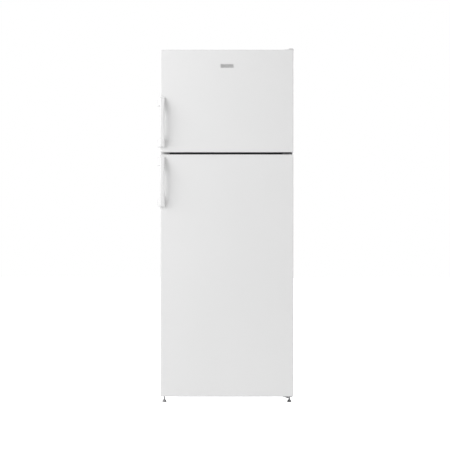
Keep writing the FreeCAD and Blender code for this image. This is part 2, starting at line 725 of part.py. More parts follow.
def make_slider():
    """The freezer's air slide: a front button, its tongue, and the plate that keeps it in the slot."""
    front = block((-16, 16), ("cover_front - 6", "cover_front - 0.4"), (1480, 1500))
    grip = block((-3, 3), ("cover_front - 12", "cover_front - 6"), (1482, 1498))
    tongue = block((-8, 8), ("cover_front - 0.4", "cover_back + 0.4"), (1487.6, 1492.4))
    keeper = block((-14, 14), ("cover_back + 0.4", "cover_back + 2.4"), (1482, 1498))
    node(fuse(front, grip, tongue, keeper), "airflow_slider")


def make_fridge_shelves():
    """Two glass panes on the ledges, each with a plastic trim on its front and back edge."""
    trims = []
    across = ("2.5 - fridge_half", "fridge_half - 2.5")
    edges = (("shelf_front", "shelf_front + 16", ("shelf_front + 3.9", "shelf_front + 17")),
             ("shelf_rear - 16", "shelf_rear", ("shelf_rear - 17", "shelf_rear - 3.9")))
    for name, level in (("upper_shelf_glass", "upper_shelf"), ("lower_shelf_glass", "lower_shelf")):
        body = new_body(name)
        rectangle_prism(body, across, ("shelf_front + 4", "shelf_rear - 4"),
                        ("%s + 0.2" % level, "%s + 0.2 + glass" % level))
        for low, high, slot_span in edges:
            strip = block(across, (low, high), ("%s - 3" % level, "%s + 10" % level))
            slot = block(("-fridge_half", "fridge_half"), slot_span,
                         ("%s + 0.1" % level, "%s + 0.3 + glass" % level))
            notches = [block(("%d * fridge_half - 14" % side, "%d * fridge_half + 14" % side),
                             ("%s - 1" % low, "%s + 1" % high), ("%s - 4" % level, "%s + 0.05" % level))
                       for side in (-1, 1)]
            trims.append(cut(strip, slot, *notches))
    node(group(*trims), "shelf_trims")


def make_crisper_cover():
    """The lid shelf over the crisper: a plastic frame with a ribbed underside."""
    body = new_body("crisper_cover")
    level = "crisper_shelf + 0.2"
    rectangle_prism(body, ("2.5 - fridge_half", "fridge_half - 2.5"), ("shelf_front", "fridge_rear - 6"),
                    (level, "%s + 10" % level))
    round_edges(body, 8, lambda edge: runs_along(edge, "z"))
    rectangle_prism(body, ("30 - fridge_half", "fridge_half - 30"), ("shelf_front + 26", "fridge_rear - 34"),
                    ("%s + 6" % level, "%s + 10" % level), remove=True)


def make_crisper_drawer():
    """The salad drawer: a deep tub with a lip to pull it by."""
    body = tub("crisper_drawer", ("12 - fridge_half", "fridge_half - 12"),
               ("shelf_front + 8", "hump_front - 6"), ("fridge_floor + 1", "crisper_shelf - 12"),
               "drawer_wall", 16)
    rectangle_prism(body, (-90, 90), ("shelf_front + 2", "shelf_front + 9"),
                    ("crisper_shelf - 44", "crisper_shelf - 40"))


def make_freezer_shelf():
    """The plastic freezer shelf with air slots along it."""
    body = new_body("freezer_shelf")
    level = "freezer_shelf_level + 0.2"
    rectangle_prism(body, ("2.5 - freezer_half", "freezer_half - 2.5"), (-134, "cover_front - 14"),
                    (level, "%s + 7" % level))
    round_edges(body, 7, lambda edge: runs_along(edge, "z"))

    def slots(sketch):
        for column in range(-5, 6):
            add_rectangle(sketch, (column * 46 - 5, column * 46 + 5), (-60, 130))

    prism(body, "z", ("freezer_shelf_level - 1", "freezer_shelf_level + 9"), slots, remove=True)


def make_ice_maker():
    """The ice tray's stand, an open box on the shelf, and the tray that turns over in it."""
    x, y, z = (-272, -100), (-128, 132), ("freezer_shelf_level + 7.3", "freezer_shelf_level + 112")
    case = block(x, y, z)
    hollow = block((x[0] + 3, x[1] - 3), (y[0] + 3, y[1] - 3),
                   ("freezer_shelf_level + 10.3", "freezer_shelf_level + 120"))
    window = block((x[0] + 22, x[1] - 22), (y[0] - 1, y[0] + 4),
                   ("freezer_shelf_level + 16", "freezer_shelf_level + 58"))
    bores = rod("y", 5.5, (y[0] - 2, y[1] + 2), (-186, "freezer_shelf_level + 90"))
    node(cut(case, hollow, window, bores), "ice_tray_frame")

    body = new_body("ice_tray")
    rectangle_prism(body, (-52, 52), (-118, 118), (-16, 12))
    round_edges(body, 5, lambda edge: runs_along(edge, "z"))

    def cups(sketch):
        for column in (-1, 1):
            for row in range(7):
                centre = -99 + row * 33
                add_rectangle(sketch, (column * 25 - 22, column * 25 + 22), (centre - 14, centre + 14))

    prism(body, "z", (-13, 12), cups, remove=True)
    prism(body, "y", (-134, -118), lambda sketch: add_circle(sketch, (0, 0), 5))
    prism(body, "y", (118, 129), lambda sketch: add_circle(sketch, (0, 0), 5))
    prism(body, "y", (-140, -133), lambda sketch: add_rectangle(sketch, (-20, 20), (-6, 6)))
    place(body, -186, 2, "freezer_shelf_level + 90")


# ---------------------------------------------------------------- hinges, feet and rollers

def taper(body, inset):
    """Narrow the front of the top hinge, its cover or the cover's hollow to a nose round the pin."""
    nose = "hinge_x - 14 + %d" % inset
    corner = [(280, -340), (nose, -340), (nose, -304), (290 + inset, -262), (280, -262)]
    prism(body, "z", ("cabinet_top - 1", "cabinet_top + 12"), lambda sketch: add_polygon(sketch, corner),
          remove=True)


def hinge_leaf(profile, x, pins, holes, narrow=False):
    """A folded steel hinge leaf with its pin and its screw holes."""
    leaf = new_body()
    prism(leaf, "x", x, lambda sketch: add_polygon(sketch, profile))
    if narrow:
        taper(leaf, 3)
    round_edges(leaf, 6, lambda edge: runs_along(edge, "z") and at(edge, y=(-330, -310)))
    solid = fuse(leaf, *[rod("z", "pin_radius", pin, ("hinge_x", "hinge_y")) for pin in pins])
    return cut(solid, *holes)


def hinge_screw(axis, head, shank, across):
    """A pan-head screw: its head, and the shank in the leaf's hole."""
    return fuse(rod(axis, 4, head, across), rod(axis, 2.4, shank, across))


def make_hinges():
    """Top, middle and bottom hinge leaves with the door pins, and the screws that hold them."""
    screws = []
    top = "cabinet_top"
    top_profile = [(-150, top), (-150, "%s + plate" % top), (-246, "%s + plate" % top),
                   (-250, "%s + 3 + plate" % top), (-318, "%s + 3 + plate" % top), (-318, "%s + 3" % top),
                   (-251, "%s + 3" % top), (-247, top)]
    top_holes = [("hinge_x - 18", -170), ("hinge_x + 2", -170), ("hinge_x - 8", -205)]
    holes = [rod("z", 2.6, ("%s - 1" % top, "%s + plate + 1" % top), spot) for spot in top_holes]
    pin = [("freezer_door_high - pin_depth", "%s + 4" % top)]
    leaf = hinge_leaf(top_profile, (300, "door_half - 3"), pin, holes, narrow=True)
    node(leaf, "top_hinge")
    for spot in top_holes:
        screws.append(hinge_screw("z", ("%s + plate" % top, "%s + plate + 2.4" % top),
                                  ("%s + 0.2" % top, "%s + plate + 0.1" % top), spot))

    gap = "(fridge_door_high + freezer_door_low) / 2"
    middle_profile = [("cabinet_front", "%s - 11" % gap), ("cabinet_front - 2.5", "%s - 11" % gap),
                      ("cabinet_front - 2.5", "%s - plate / 2" % gap), (-318, "%s - plate / 2" % gap),
                      (-318, "%s + plate / 2" % gap), ("cabinet_front - 2.5", "%s + plate / 2" % gap),
                      ("cabinet_front - 2.5", "%s + 11" % gap), ("cabinet_front", "%s + 11" % gap)]
    middle_spots = [(304, "%s - 6.4" % gap), (304, "%s + 6.4" % gap)]
    holes = [rod("y", 2.6, ("cabinet_front - 4", "cabinet_front + 1"), spot) for spot in middle_spots]
    pin = [("fridge_door_high - pin_depth", "freezer_door_low + pin_depth")]
    node(hinge_leaf(middle_profile, (296, "door_half - 4"), pin, holes), "middle_hinge")
    for spot in middle_spots:
        screws.append(hinge_screw("y", ("cabinet_front - 4.6", "cabinet_front - 2.5"),
                                  ("cabinet_front - 2.6", "cabinet_front - 0.2"), spot))

    low = "cabinet_bottom"
    step = "%s - hinge_drop" % low
    bottom_profile = [(-170, low), (-170, "%s - plate" % low), (-249, "%s - plate" % low),
                      (-262, "%s - plate" % step), (-318, "%s - plate" % step),
                      (-318, step), (-260, step), (-247, low)]
    bottom_spots = [("hinge_x - 24", -190), ("hinge_x", -190), ("hinge_x - 24", -226)]
    through = ("%s - plate - 1" % low, "%s + 1" % low)
    holes = [rod("z", 2.6, through, spot) for spot in bottom_spots]
    holes.append(rod("z", "stem_radius + 0.3", through, ("foot_x", "foot_y")))
    pin = [("%s - 1" % step, "fridge_door_low + pin_depth")]
    rib = new_body()
    under = "%s - plate" % step
    prism(rib, "y", (-318, -315.5), lambda sketch: add_polygon(
        sketch, [(303, "%s + 0.5" % under), (318, "%s - 6" % under),
                 (326, "%s - 6" % under), (323, "%s + 0.5" % under)]))
    leaf = hinge_leaf(bottom_profile, (296, "door_half - 4"), pin, holes)
    node(fuse(leaf, rib), "bottom_hinge")
    for spot in bottom_spots:
        screws.append(hinge_screw("z", ("%s - plate - 2.4" % low, "%s - plate" % low),
                                  ("%s - plate - 0.1" % low, "%s - 0.2" % low), spot))

    body = new_body("left_foot_bracket")
    rectangle_prism(body, (-345, -296), (-262, -170), ("%s - plate" % low, low))
    round_edges(body, 6, lambda edge: runs_along(edge, "z"))
    prism(body, "z", ("%s - plate" % low, low), lambda sketch: add_circle(
        sketch, ("-foot_x", "foot_y"), "stem_radius + 0.3"), remove=True)
    node(group(*screws), "hinge_screws")

    shell = new_body()
    rectangle_prism(shell, (296, "door_half + 2.5"), (-324, -140), ("cabinet_top + 0.3", "cabinet_top + 10"))
    taper(shell, 0)
    hollow = new_body()
    rectangle_prism(hollow, (298, "door_half + 0.5"), (-322, -138), ("cabinet_top", "cabinet_top + 8.2"))
    taper(hollow, 2)
    over_door = block((290, 360), (-330, -257), ("cabinet_top", "freezer_door_high + 0.7"))
    node(cut(shell, hollow, over_door), "top_hinge_cover")


def make_foot(name, side):
    """A levelling foot: a tapered pad with a flat for the fingers, on a threaded stem."""
    body = new_body(name)
    revolve(body, [(0, 0), ("foot_radius - 1", 0), ("foot_radius", 1.5), ("foot_radius", 7),
                   ("foot_radius - 4", 13), ("stem_radius", 15), ("stem_radius", 48.5), (0, 48.5)])
    place(body, "%d * foot_x" % side, "foot_y", 0)


def make_roller(name, side):
    """A moulded rear roller with a recessed web."""
    body = new_body(name)
    rim, half = "roller_radius", "roller_half"
    revolve(body, [(4.1, "-roller_half"), (4.1, half), (8, half), (9, "roller_half - 3"),
                   (16, "roller_half - 3"), (18, half), ("roller_radius - 1", half), (rim, "roller_half - 1"),
                   (rim, "1 - roller_half"), ("roller_radius - 1", "-roller_half"), (18, "-roller_half"),
                   (16, "3 - roller_half"), (9, "3 - roller_half"), (8, "-roller_half")], axis="x")
    place(body, "%d * roller_x" % side, "roller_y", "roller_radius")


# ---------------------------------------------------------------- doors

def make_door(name, low, high):
    """One door: folded skin, end caps, foam, formed liner with its dyke, and the gasket."""
    wall = "door_liner_wall"
    inner_low, inner_high = "%s + cap_height" % low, "%s - cap_height" % high

    skin = new_body(name + "_skin")
    back = "door_back - door_liner_wall"
    rectangle_prism(skin, ("-door_half", "door_half"), ("door_front", back), (inner_low, inner_high))
    rectangle_prism(skin, ("steel - door_half", "door_half - steel"), ("door_front + steel", back),
                    (inner_low, inner_high), remove=True)
    round_edges(skin, "door_radius - steel", lambda edge: (
        runs_along(edge, "z") and at(edge, y=(-327.2, -326.8))))
    round_edges(skin, "door_radius", lambda edge: (
        runs_along(edge, "z") and at(edge, y=(-328.2, -327.8)) and abs(edge.BoundBox.Center.x) > 345))

    caps = []
    for sign, start in ((1, low), (-1, high)):
        cap = new_body()
        inner = "%s + %d * cap_height" % (start, sign)
        deep = "%s + %d * cap_tray" % (start, sign)
        outer_span = (start, inner) if sign > 0 else (inner, start)
        tray_span = (inner, deep) if sign > 0 else (deep, inner)
        rectangle_prism(cap, ("-door_half", "door_half"), ("door_front", "door_back"), outer_span)
        round_edges(cap, "door_radius", lambda edge: runs_along(edge, "z") and at(edge, y=(-340, -320)))
        outside = size(start)
        round_edges(cap, "edge_radius", lambda edge: (
            abs(edge.BoundBox.ZMin - outside) < 0.01 and abs(edge.BoundBox.ZMax - outside) < 0.01
            and edge.BoundBox.YMax < size("door_back") - 0.5 or (
                runs_along(edge, "y") and abs(edge.BoundBox.Center.z - outside) < 0.01)))
        rectangle_prism(cap, ("steel + 0.2 - door_half", "door_half - steel - 0.2"),
                        ("door_front + steel + 6", "door_back - door_liner_wall - 0.2"), tray_span)
        whole = (start, "%s + %d * (pin_depth + 1)" % (start, sign))
        bore = rod("z", "pin_bore", whole if sign > 0 else whole[::-1], ("hinge_x", "hinge_y"))
        caps.append(cut(cap, bore))
    node(group(*caps), name + "_caps")

    dyke_low, dyke_high = "%s + 90" % low, "%s - 72" % high
    if name == "freezer_door":
        dyke_low = "freezer_floor + 10"
    half, inside = "dyke_half", "dyke_half - dyke_width"
    liner = new_body(name + "_liner")
    rectangle_prism(liner, ("-door_half", "door_half"), ("door_back - %s" % wall, "door_back"),
                    (inner_low, inner_high), axis="y")
    rectangle_prism(liner, ("-%s" % half, half), ("door_back", "dyke_back"), (dyke_low, dyke_high), axis="y")
    round_edges(liner, 10, lambda edge: runs_along(edge, "y") and edge.Length > 20)
    rectangle_prism(liner, ("-(%s)" % inside, inside), ("door_back", "dyke_back"),
                    ("%s + dyke_width" % dyke_low, "%s - dyke_width" % dyke_high), axis="y", remove=True)
    channel = "dyke_width - %s" % wall

    def dyke_hollow(sketch):
        outer = "%s - %s" % (half, wall)
        inner = "%s - (%s)" % (half, channel)
        ends = ("%s + %s" % (dyke_low, wall), "%s - %s" % (dyke_high, wall))
        add_rectangle(sketch, ("-(%s)" % outer, outer), ends)
        add_rectangle(sketch, ("-(%s)" % inner, inner),
                      ("%s + %s" % (dyke_low, channel), "%s - (%s)" % (dyke_high, channel)))

    prism(liner, "y", ("door_back - %s" % wall, "dyke_back - %s" % wall), dyke_hollow, remove=True)

    inset = "steel + 0.2"
    core = block(("%s - door_half" % inset, "door_half - (%s)" % inset),
                 ("door_front + %s" % inset, "door_back - door_liner_wall - 0.2"),
                 ("%s + cap_tray + 0.2" % low, "%s - cap_tray - 0.2" % high))
    bores = [rod("z", "pin_bore + 0.3", ("%s + cap_tray - 1" % low, "%s + cap_tray + 4" % low),
                 ("hinge_x", "hinge_y")),
             rod("z", "pin_bore + 0.3", ("%s - cap_tray - 4" % high, "%s - cap_tray + 1" % high),
                 ("hinge_x", "hinge_y"))]
    corners = [block(("%d * door_half - 6" % side, "%d * door_half + 6" % side),
                     ("door_front", "door_front + 6"), (low, high)) for side in (-1, 1)]
    node(cut(core, *(bores + corners)), name + "_foam")

    gasket_low = "%s + 20" % low if name == "fridge_door" else "mullion_high - 18"
    gasket_high = "%s - 11.5" % high if name == "freezer_door" else "mullion_low + 18"
    gasket = new_body(name + "_gasket")
    span = ("door_back", "gasket_back")
    width = "gasket_width"
    mouth = ("%s + %s" % (gasket_low, width), "%s - %s" % (gasket_high, width))
    rectangle_prism(gasket, ("-gasket_outer", "gasket_outer"), span, (gasket_low, gasket_high), axis="y")
    rectangle_prism(gasket, ("%s - gasket_outer" % width, "gasket_outer - %s" % width), span, mouth,
                    axis="y", remove=True)

    def folds(sketch):
        near, far = "5", "%s - 5" % width
        add_rectangle(sketch, ("%s - gasket_outer" % near, "gasket_outer - %s" % near),
                      ("%s + %s" % (gasket_low, near), "%s - %s" % (gasket_high, near)))
        add_rectangle(sketch, ("%s - gasket_outer" % far, "gasket_outer - (%s)" % far),
                      ("%s + %s" % (gasket_low, far), "%s - (%s)" % (gasket_high, far)))

    prism(gasket, "y", ("gasket_back - 1.2", "gasket_back"), folds, remove=True)


def make_handle(name, low):
    """A bow handle: two end pads that wrap the door's edge, and the bow between them."""
    front = size("door_front")
    left, width = -size("door_half"), size("handle_width")
    over, wrap = size("handle_overhang"), size("pad_wrap")
    length, reach, thick = size("handle_length"), size("handle_reach"), size("bow_thick")
    pad = size("pad_thick")
    bottom, top = size(low), size(low) + length
    gap = 0.3

    outer_top = Vector(left, front - pad, top)
    outer_low = Vector(left, front - pad, bottom)
    crown = Vector(left, front - reach, (top + bottom) / 2)
    inner_top = Vector(left, front - gap, top - size("pad_top") + 4)
    inner_low = Vector(left, front - gap, bottom + size("pad_bottom") - 4)
    inner_crown = Vector(left, front - reach + thick, (top + bottom) / 2)
    outline = Part.Wire([
        Part.Arc(outer_low, crown, outer_top).toShape(),
        Part.LineSegment(outer_top, Vector(left, front - gap, top)).toShape(),
        Part.LineSegment(Vector(left, front - gap, top), inner_top).toShape(),
        Part.Arc(inner_top, inner_crown, inner_low).toShape(),
        Part.LineSegment(inner_low, Vector(left, front - gap, bottom)).toShape(),
        Part.LineSegment(Vector(left, front - gap, bottom), outer_low).toShape(),
    ])
    bow = Part.Face(outline).extrude(Vector(width, 0, 0))
    pieces = []
    for start, tall in ((bottom, size("pad_bottom")), (top - size("pad_top"), size("pad_top"))):
        face = Part.makeBox(over + width, pad - gap, tall, Vector(left - over, front - pad, start))
        side = Part.makeBox(over - gap, wrap + 2, tall, Vector(left - over, front - 2, start))
        pieces += [face, side]
    whole = bow.multiFuse(pieces).removeSplitter()
    bow_edges = [edge for edge in whole.Edges if isinstance(edge.Curve, Part.Circle) and edge.Length > 60]
    whole = whole.makeFillet(6, bow_edges)
    corner_edges = [edge for edge in whole.Edges if runs_along(edge, "z")
                    and edge.BoundBox.XMax < left - over + 0.1]
    whole = whole.makeFillet(3, corner_edges)
    node(feature(whole), name)


def make_badge():
    """A small blank plate on the freezer door."""
    body = new_body("freezer_door_badge")
    top = "freezer_door_high - badge_drop + badge_height / 2"
    rectangle_prism(body, ("-badge_half", "badge_half"), ("door_front - badge_thick", "door_front - 0.1"),
                    ("%s - badge_height" % top, top), axis="y")
    round_edges(body, 4, lambda edge: runs_along(edge, "y"))


def make_racks():
    """The shelves that hang between the dykes of the door liners."""
    x = ("-rack_half", "rack_half")
    for name, back, low, tall in (
            ("freezer_upper_bin", "bin_back", "upper_bin_low", "bin_tall"),
            ("freezer_lower_bin", "bin_back", "lower_bin_low", "bin_tall"),
            ("fridge_dairy_rack", "rack_back", "dairy_low", "dairy_tall"),
            ("fridge_middle_rack", "rack_back", "middle_rack_low", "middle_rack_tall"),
            ("fridge_bottle_rack", "rack_back", "bottle_rack_low", "bottle_rack_tall")):
        tub(name, x, ("rack_front", back), (low, "%s + %s" % (low, tall)), "rack_wall", 9)


def make_dairy_lid():
    """The flap over the dairy rack: a clear cover with a front lip, on two pivots at its back edge."""
    across = ("-rack_half", "rack_half")
    under = "dairy_low + dairy_tall + lid_gap"
    over = "%s + lid_thick" % under
    plate = block(across, ("rack_front + 1", "rack_back + 2.5"), (under, over))
    lip = block(across, ("rack_back + 0.3", "rack_back + 2.5"), ("%s - 18" % under, over))
    barrel = rod("x", 3.6, across, ("rack_front + 3.6", "%s + 3.6" % under))
    node(fuse(plate, lip, barrel), "dairy_lid")


# ---------------------------------------------------------------- the whole appliance

make_outer_shell()
make_rear_panel()
make_base_pan()
make_fridge_liner()
make_freezer_liner()
make_cabinet_foam()
make_mullion_cover()
make_compressor_tray()
make_compressor()
make_grommets()
make_condenser()
make_refrigerant_pipes()
make_defrost_drain()
make_evaporator()
make_evaporator_cover()
make_fan_motor()
make_evaporator_fan()
make_bay_cover()
make_power_inlet()
make_air_duct()
make_control_box()
make_knob()
make_slider()
make_fridge_shelves()
make_crisper_cover()
make_crisper_drawer()
make_freezer_shelf()
make_ice_maker()
make_hinges()
make_foot("left_foot", -1)
make_foot("right_foot", 1)
make_roller("left_roller", -1)
make_roller("right_roller", 1)
make_door("freezer_door", "freezer_door_low", "freezer_door_high")
make_door("fridge_door", "fridge_door_low", "fridge_door_high")
make_handle("freezer_door_handle", "freezer_handle_low")
make_handle("fridge_door_handle", "fridge_handle_low")
make_badge()
make_racks()
make_dairy_lid()
doc.recompute()

# ---------------------------------------------------------------- checks and export

faults = []
for thing in doc.Objects:
    if "Invalid" in thing.State or "Error" in thing.State:
        faults.append("%s (%s) is %s" % (thing.Name, thing.Label, thing.State))
    if thing.TypeId == "PartDesign::Pocket":
        before = thing.BaseFeature.Shape.Volume
        if thing.Shape.isNull() or thing.Shape.Volume > before - 0.5:
            faults.append("%s cuts nothing from %s" % (thing.Name, thing.getParentGeoFeatureGroup().Label))
for thing in nodes:
    if thing.Shape.isNull() or not thing.Shape.isValid() or not thing.Shape.Solids:
        faults.append("%s has no valid solid" % thing.Label)
if faults:
    raise RuntimeError("; ".join(faults))

for thing in nodes:
    thing.Shape.exportStep("parts/%s.step" % thing.Label)
    print("%-24s %3d solids %10.1f cm3" % (thing.Label, len(thing.Shape.Solids), thing.Shape.Volume / 1000))
print(len(nodes), "nodes")
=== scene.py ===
import bmesh
import bpy
import json
import math
from mathutils import Matrix, Vector


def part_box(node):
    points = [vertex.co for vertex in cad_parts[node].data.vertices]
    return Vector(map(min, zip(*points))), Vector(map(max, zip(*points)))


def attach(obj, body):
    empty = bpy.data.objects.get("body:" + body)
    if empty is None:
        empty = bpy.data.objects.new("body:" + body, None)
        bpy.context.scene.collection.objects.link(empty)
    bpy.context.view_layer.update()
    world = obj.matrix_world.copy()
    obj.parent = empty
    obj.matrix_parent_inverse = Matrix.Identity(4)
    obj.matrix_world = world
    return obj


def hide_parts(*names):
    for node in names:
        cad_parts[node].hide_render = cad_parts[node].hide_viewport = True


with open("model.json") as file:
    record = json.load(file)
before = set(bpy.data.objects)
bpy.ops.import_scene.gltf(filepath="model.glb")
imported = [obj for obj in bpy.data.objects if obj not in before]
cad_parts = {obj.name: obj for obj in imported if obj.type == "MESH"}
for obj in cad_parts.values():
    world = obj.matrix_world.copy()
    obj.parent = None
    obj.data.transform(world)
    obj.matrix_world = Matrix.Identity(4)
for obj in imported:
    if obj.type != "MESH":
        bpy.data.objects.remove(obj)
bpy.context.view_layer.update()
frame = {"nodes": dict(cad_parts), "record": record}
NODES = frame["nodes"]
MM = 0.001


# ---------------------------------------------------------------- shader helpers

class Shader:
    """A material's node tree, with short calls for the nodes that these materials share."""

    def __init__(self, name, **sockets):
        self.material = bpy.data.materials.new(name)
        self.material.use_nodes = True
        self.tree = self.material.node_tree
        self.bsdf = self.tree.nodes["Principled BSDF"]
        self.coordinates = self.tree.nodes.new("ShaderNodeTexCoord").outputs["Object"]
        for socket, value in sockets.items():
            self.set(socket, value)

    def set(self, socket, value):
        name = socket.replace("_", " ")
        names = {item.name.lower(): item for item in self.bsdf.inputs}
        names[name.lower()].default_value = value

    def link(self, output, node, socket):
        self.tree.links.new(output, node.inputs[socket])

    def stretched(self, scale):
        """Object coordinates, drawn out along an axis by a small scale."""
        mapping = self.tree.nodes.new("ShaderNodeMapping")
        mapping.inputs["Scale"].default_value = scale
        self.link(self.coordinates, mapping, "Vector")
        return mapping.outputs["Vector"]

    def noise(self, scale, detail=3.0, roughness=0.5, vector=None):
        node = self.tree.nodes.new("ShaderNodeTexNoise")
        node.inputs["Scale"].default_value = scale
        node.inputs["Detail"].default_value = detail
        node.inputs["Roughness"].default_value = roughness
        self.link(vector or self.coordinates, node, "Vector")
        return node.outputs["Fac"]

    def cells(self, scale):
        node = self.tree.nodes.new("ShaderNodeTexVoronoi")
        node.inputs["Scale"].default_value = scale
        self.link(self.coordinates, node, "Vector")
        return node

    def ranged(self, factor, low, high, start=0.3, end=0.7):
        """The factor between start and end, spread over low to high."""
        node = self.tree.nodes.new("ShaderNodeMapRange")
        for socket, value in (("From Min", start), ("From Max", end), ("To Min", low), ("To Max", high)):
            node.inputs[socket].default_value = value
        self.link(factor, node, "Value")
        return node.outputs["Result"]

    def colours(self, factor, dark, light, start=0.3, end=0.7):
        """The surface's colour, between two shades by the factor."""
        ramp = self.tree.nodes.new("ShaderNodeValToRGB")
        ramp.color_ramp.elements[0].position = start
        ramp.color_ramp.elements[1].position = end
        ramp.color_ramp.elements[0].color = (*dark, 1.0)
        ramp.color_ramp.elements[1].color = (*light, 1.0)
        self.link(factor, ramp, "Fac")
        self.link(ramp.outputs["Color"], self.bsdf, "Base Color")

    def roughness(self, factor, low, high):
        self.link(self.ranged(factor, low, high), self.bsdf, "Roughness")

    def bump(self, *layers):
        """Relief from (factor, depth in metres) layers, finest last."""
        normal = None
        for height, depth in layers:
            node = self.tree.nodes.new("ShaderNodeBump")
            node.inputs["Strength"].default_value = 1.0
            node.inputs["Distance"].default_value = depth
            self.link(height, node, "Height")
            if normal:
                self.link(normal, node, "Normal")
            normal = node.outputs["Normal"]
        self.link(normal, self.bsdf, "Normal")


def grey(value):
    return (value, value, value)


def enamel(name, shade, texture_depth, texture_scale):
    """Stoved paint on sheet steel: a satin film over a fine orange peel."""
    shader = Shader(name, Specular_IOR_Level=0.4, Coat_Weight=0.12, Coat_Roughness=0.25)
    broad = shader.noise(2.5, 2.0)
    fine = shader.noise(texture_scale, 3.0, 0.55)
    shader.colours(broad, [part * 0.985 for part in shade], shade)
    shader.roughness(shader.noise(14.0, 4.0), 0.34, 0.42)
    shader.bump((fine, texture_depth))
    return shader.material


def moulded(name, shade, rough=0.34, **sockets):
    """Injection-moulded plastic with a fine spark-eroded grain."""
    depth = 0.02 * MM
    shader = Shader(name, **sockets)
    shader.colours(shader.noise(6.0, 3.0), [part * 0.97 for part in shade], shade)
    shader.roughness(shader.noise(40.0, 4.0), rough - 0.04, rough + 0.06)
    shader.bump((shader.noise(30.0, 2.0), depth * 2), (shader.noise(900.0, 2.0), depth))
    return shader.material


def formed_sheet(name, shade):
    """Vacuum-formed liner sheet: glossy, with the slight waviness of a drawn skin."""
    shader = Shader(name, Specular_IOR_Level=0.5)
    shader.colours(shader.noise(3.0, 2.0), [part * 0.985 for part in shade], shade)
    shader.roughness(shader.noise(9.0, 3.0), 0.3, 0.4)
    shader.bump((shader.noise(5.0, 1.0), 0.0001), (shader.noise(500.0, 2.0), 0.00002))
    return shader.material


def clear_moulding(name, tint):
    """Clear polystyrene with faint flow lines."""
    shader = Shader(name, Transmission_Weight=0.84, IOR=1.4)
    flow = shader.noise(8.0, 3.0, vector=shader.stretched((1.0, 1.0, 6.0)))
    shader.colours(flow, [part * 0.97 for part in tint], tint)
    shader.roughness(flow, 0.06, 0.12)
    shader.bump((flow, 0.0003))
    return shader.material


def plate_glass(name, tint):
    """Toughened shelf glass with its slightly green body."""
    shader = Shader(name, Transmission_Weight=1.0, IOR=1.5)
    wave = shader.noise(6.0, 1.0)
    shader.colours(wave, [part * 0.98 for part in tint], tint)
    shader.roughness(shader.noise(60.0, 4.0), 0.01, 0.05)
    shader.bump((wave, 0.0001))
    return shader.material


def rolled_steel(name, shade):
    """Zinc-coated sheet: crystal spangle that shifts its shade and gloss from grain to grain."""
    shader = Shader(name, Metallic=0.85)
    grains = shader.cells(60.0)
    tone = shader.ranged(grains.outputs["Color"], 0.0, 1.0, 0.2, 0.8)
    shader.colours(tone, [part * 0.82 for part in shade], shade, 0.1, 0.9)
    shader.roughness(tone, 0.32, 0.52)
    shader.bump((shader.noise(500.0, 3.0), 0.00001))
    return shader.material


def plated(name, shade, rough=0.36, stretch=(1.0, 1.0, 1.0), metallic=0.9):
    """Plated or bare metal with drawn lines where the stretch is uneven."""
    shader = Shader(name, Metallic=metallic)
    lines = shader.noise(220.0, 4.0, 0.6, vector=shader.stretched(stretch))
    blotch = shader.noise(18.0, 4.0)
    shader.colours(blotch, [part * 0.86 for part in shade], shade)
    shader.roughness(lines, rough - 0.07, rough + 0.1)
    shader.bump((lines, 0.000015))
    return shader.material


def black_enamel(name):
    """Dipped black paint with a soft sag and a film of dust on it."""
    shader = Shader(name, Coat_Weight=0.3, Coat_Roughness=0.2)
    dust = shader.noise(24.0, 6.0, 0.65)
    shader.colours(dust, grey(0.012), grey(0.045), 0.35, 0.8)
    shader.roughness(dust, 0.3, 0.55)
    shader.bump((shader.noise(90.0, 2.0), 0.00006))
    return shader.material


def soft_vinyl(name, shade, rough=0.55):
    """Extruded gasket vinyl or rubber: matte, with drag lines and a trace of handling."""
    shader = Shader(name, Sheen_Weight=0.08)
    shader.colours(shader.noise(30.0, 4.0), [part * 0.9 for part in shade], shade)
    shader.roughness(shader.noise(70.0, 4.0), rough - 0.06, rough + 0.1)
    shader.bump((shader.noise(400.0, 3.0), 0.00003))
    return shader.material


def foamed(name, shade):
    """Rigid foam: a cellular skin."""
    shader = Shader(name, Roughness=0.9)
    bubbles = shader.cells(420.0).outputs["Distance"]
    shader.colours(shader.noise(12.0, 4.0), [part * 0.86 for part in shade], shade)
    shader.bump((bubbles, 0.0004))
    return shader.material


def brushed_badge(name):
    """Brushed aluminium foil with fine lines along X."""
    shader = Shader(name, Metallic=0.75)
    lines = shader.noise(1500.0, 3.0, 0.6, vector=shader.stretched((0.03, 1.0, 1.0)))
    shader.colours(lines, grey(0.53), grey(0.74))
    shader.roughness(lines, 0.3, 0.46)
    shader.bump((lines, 0.00001))
    return shader.material


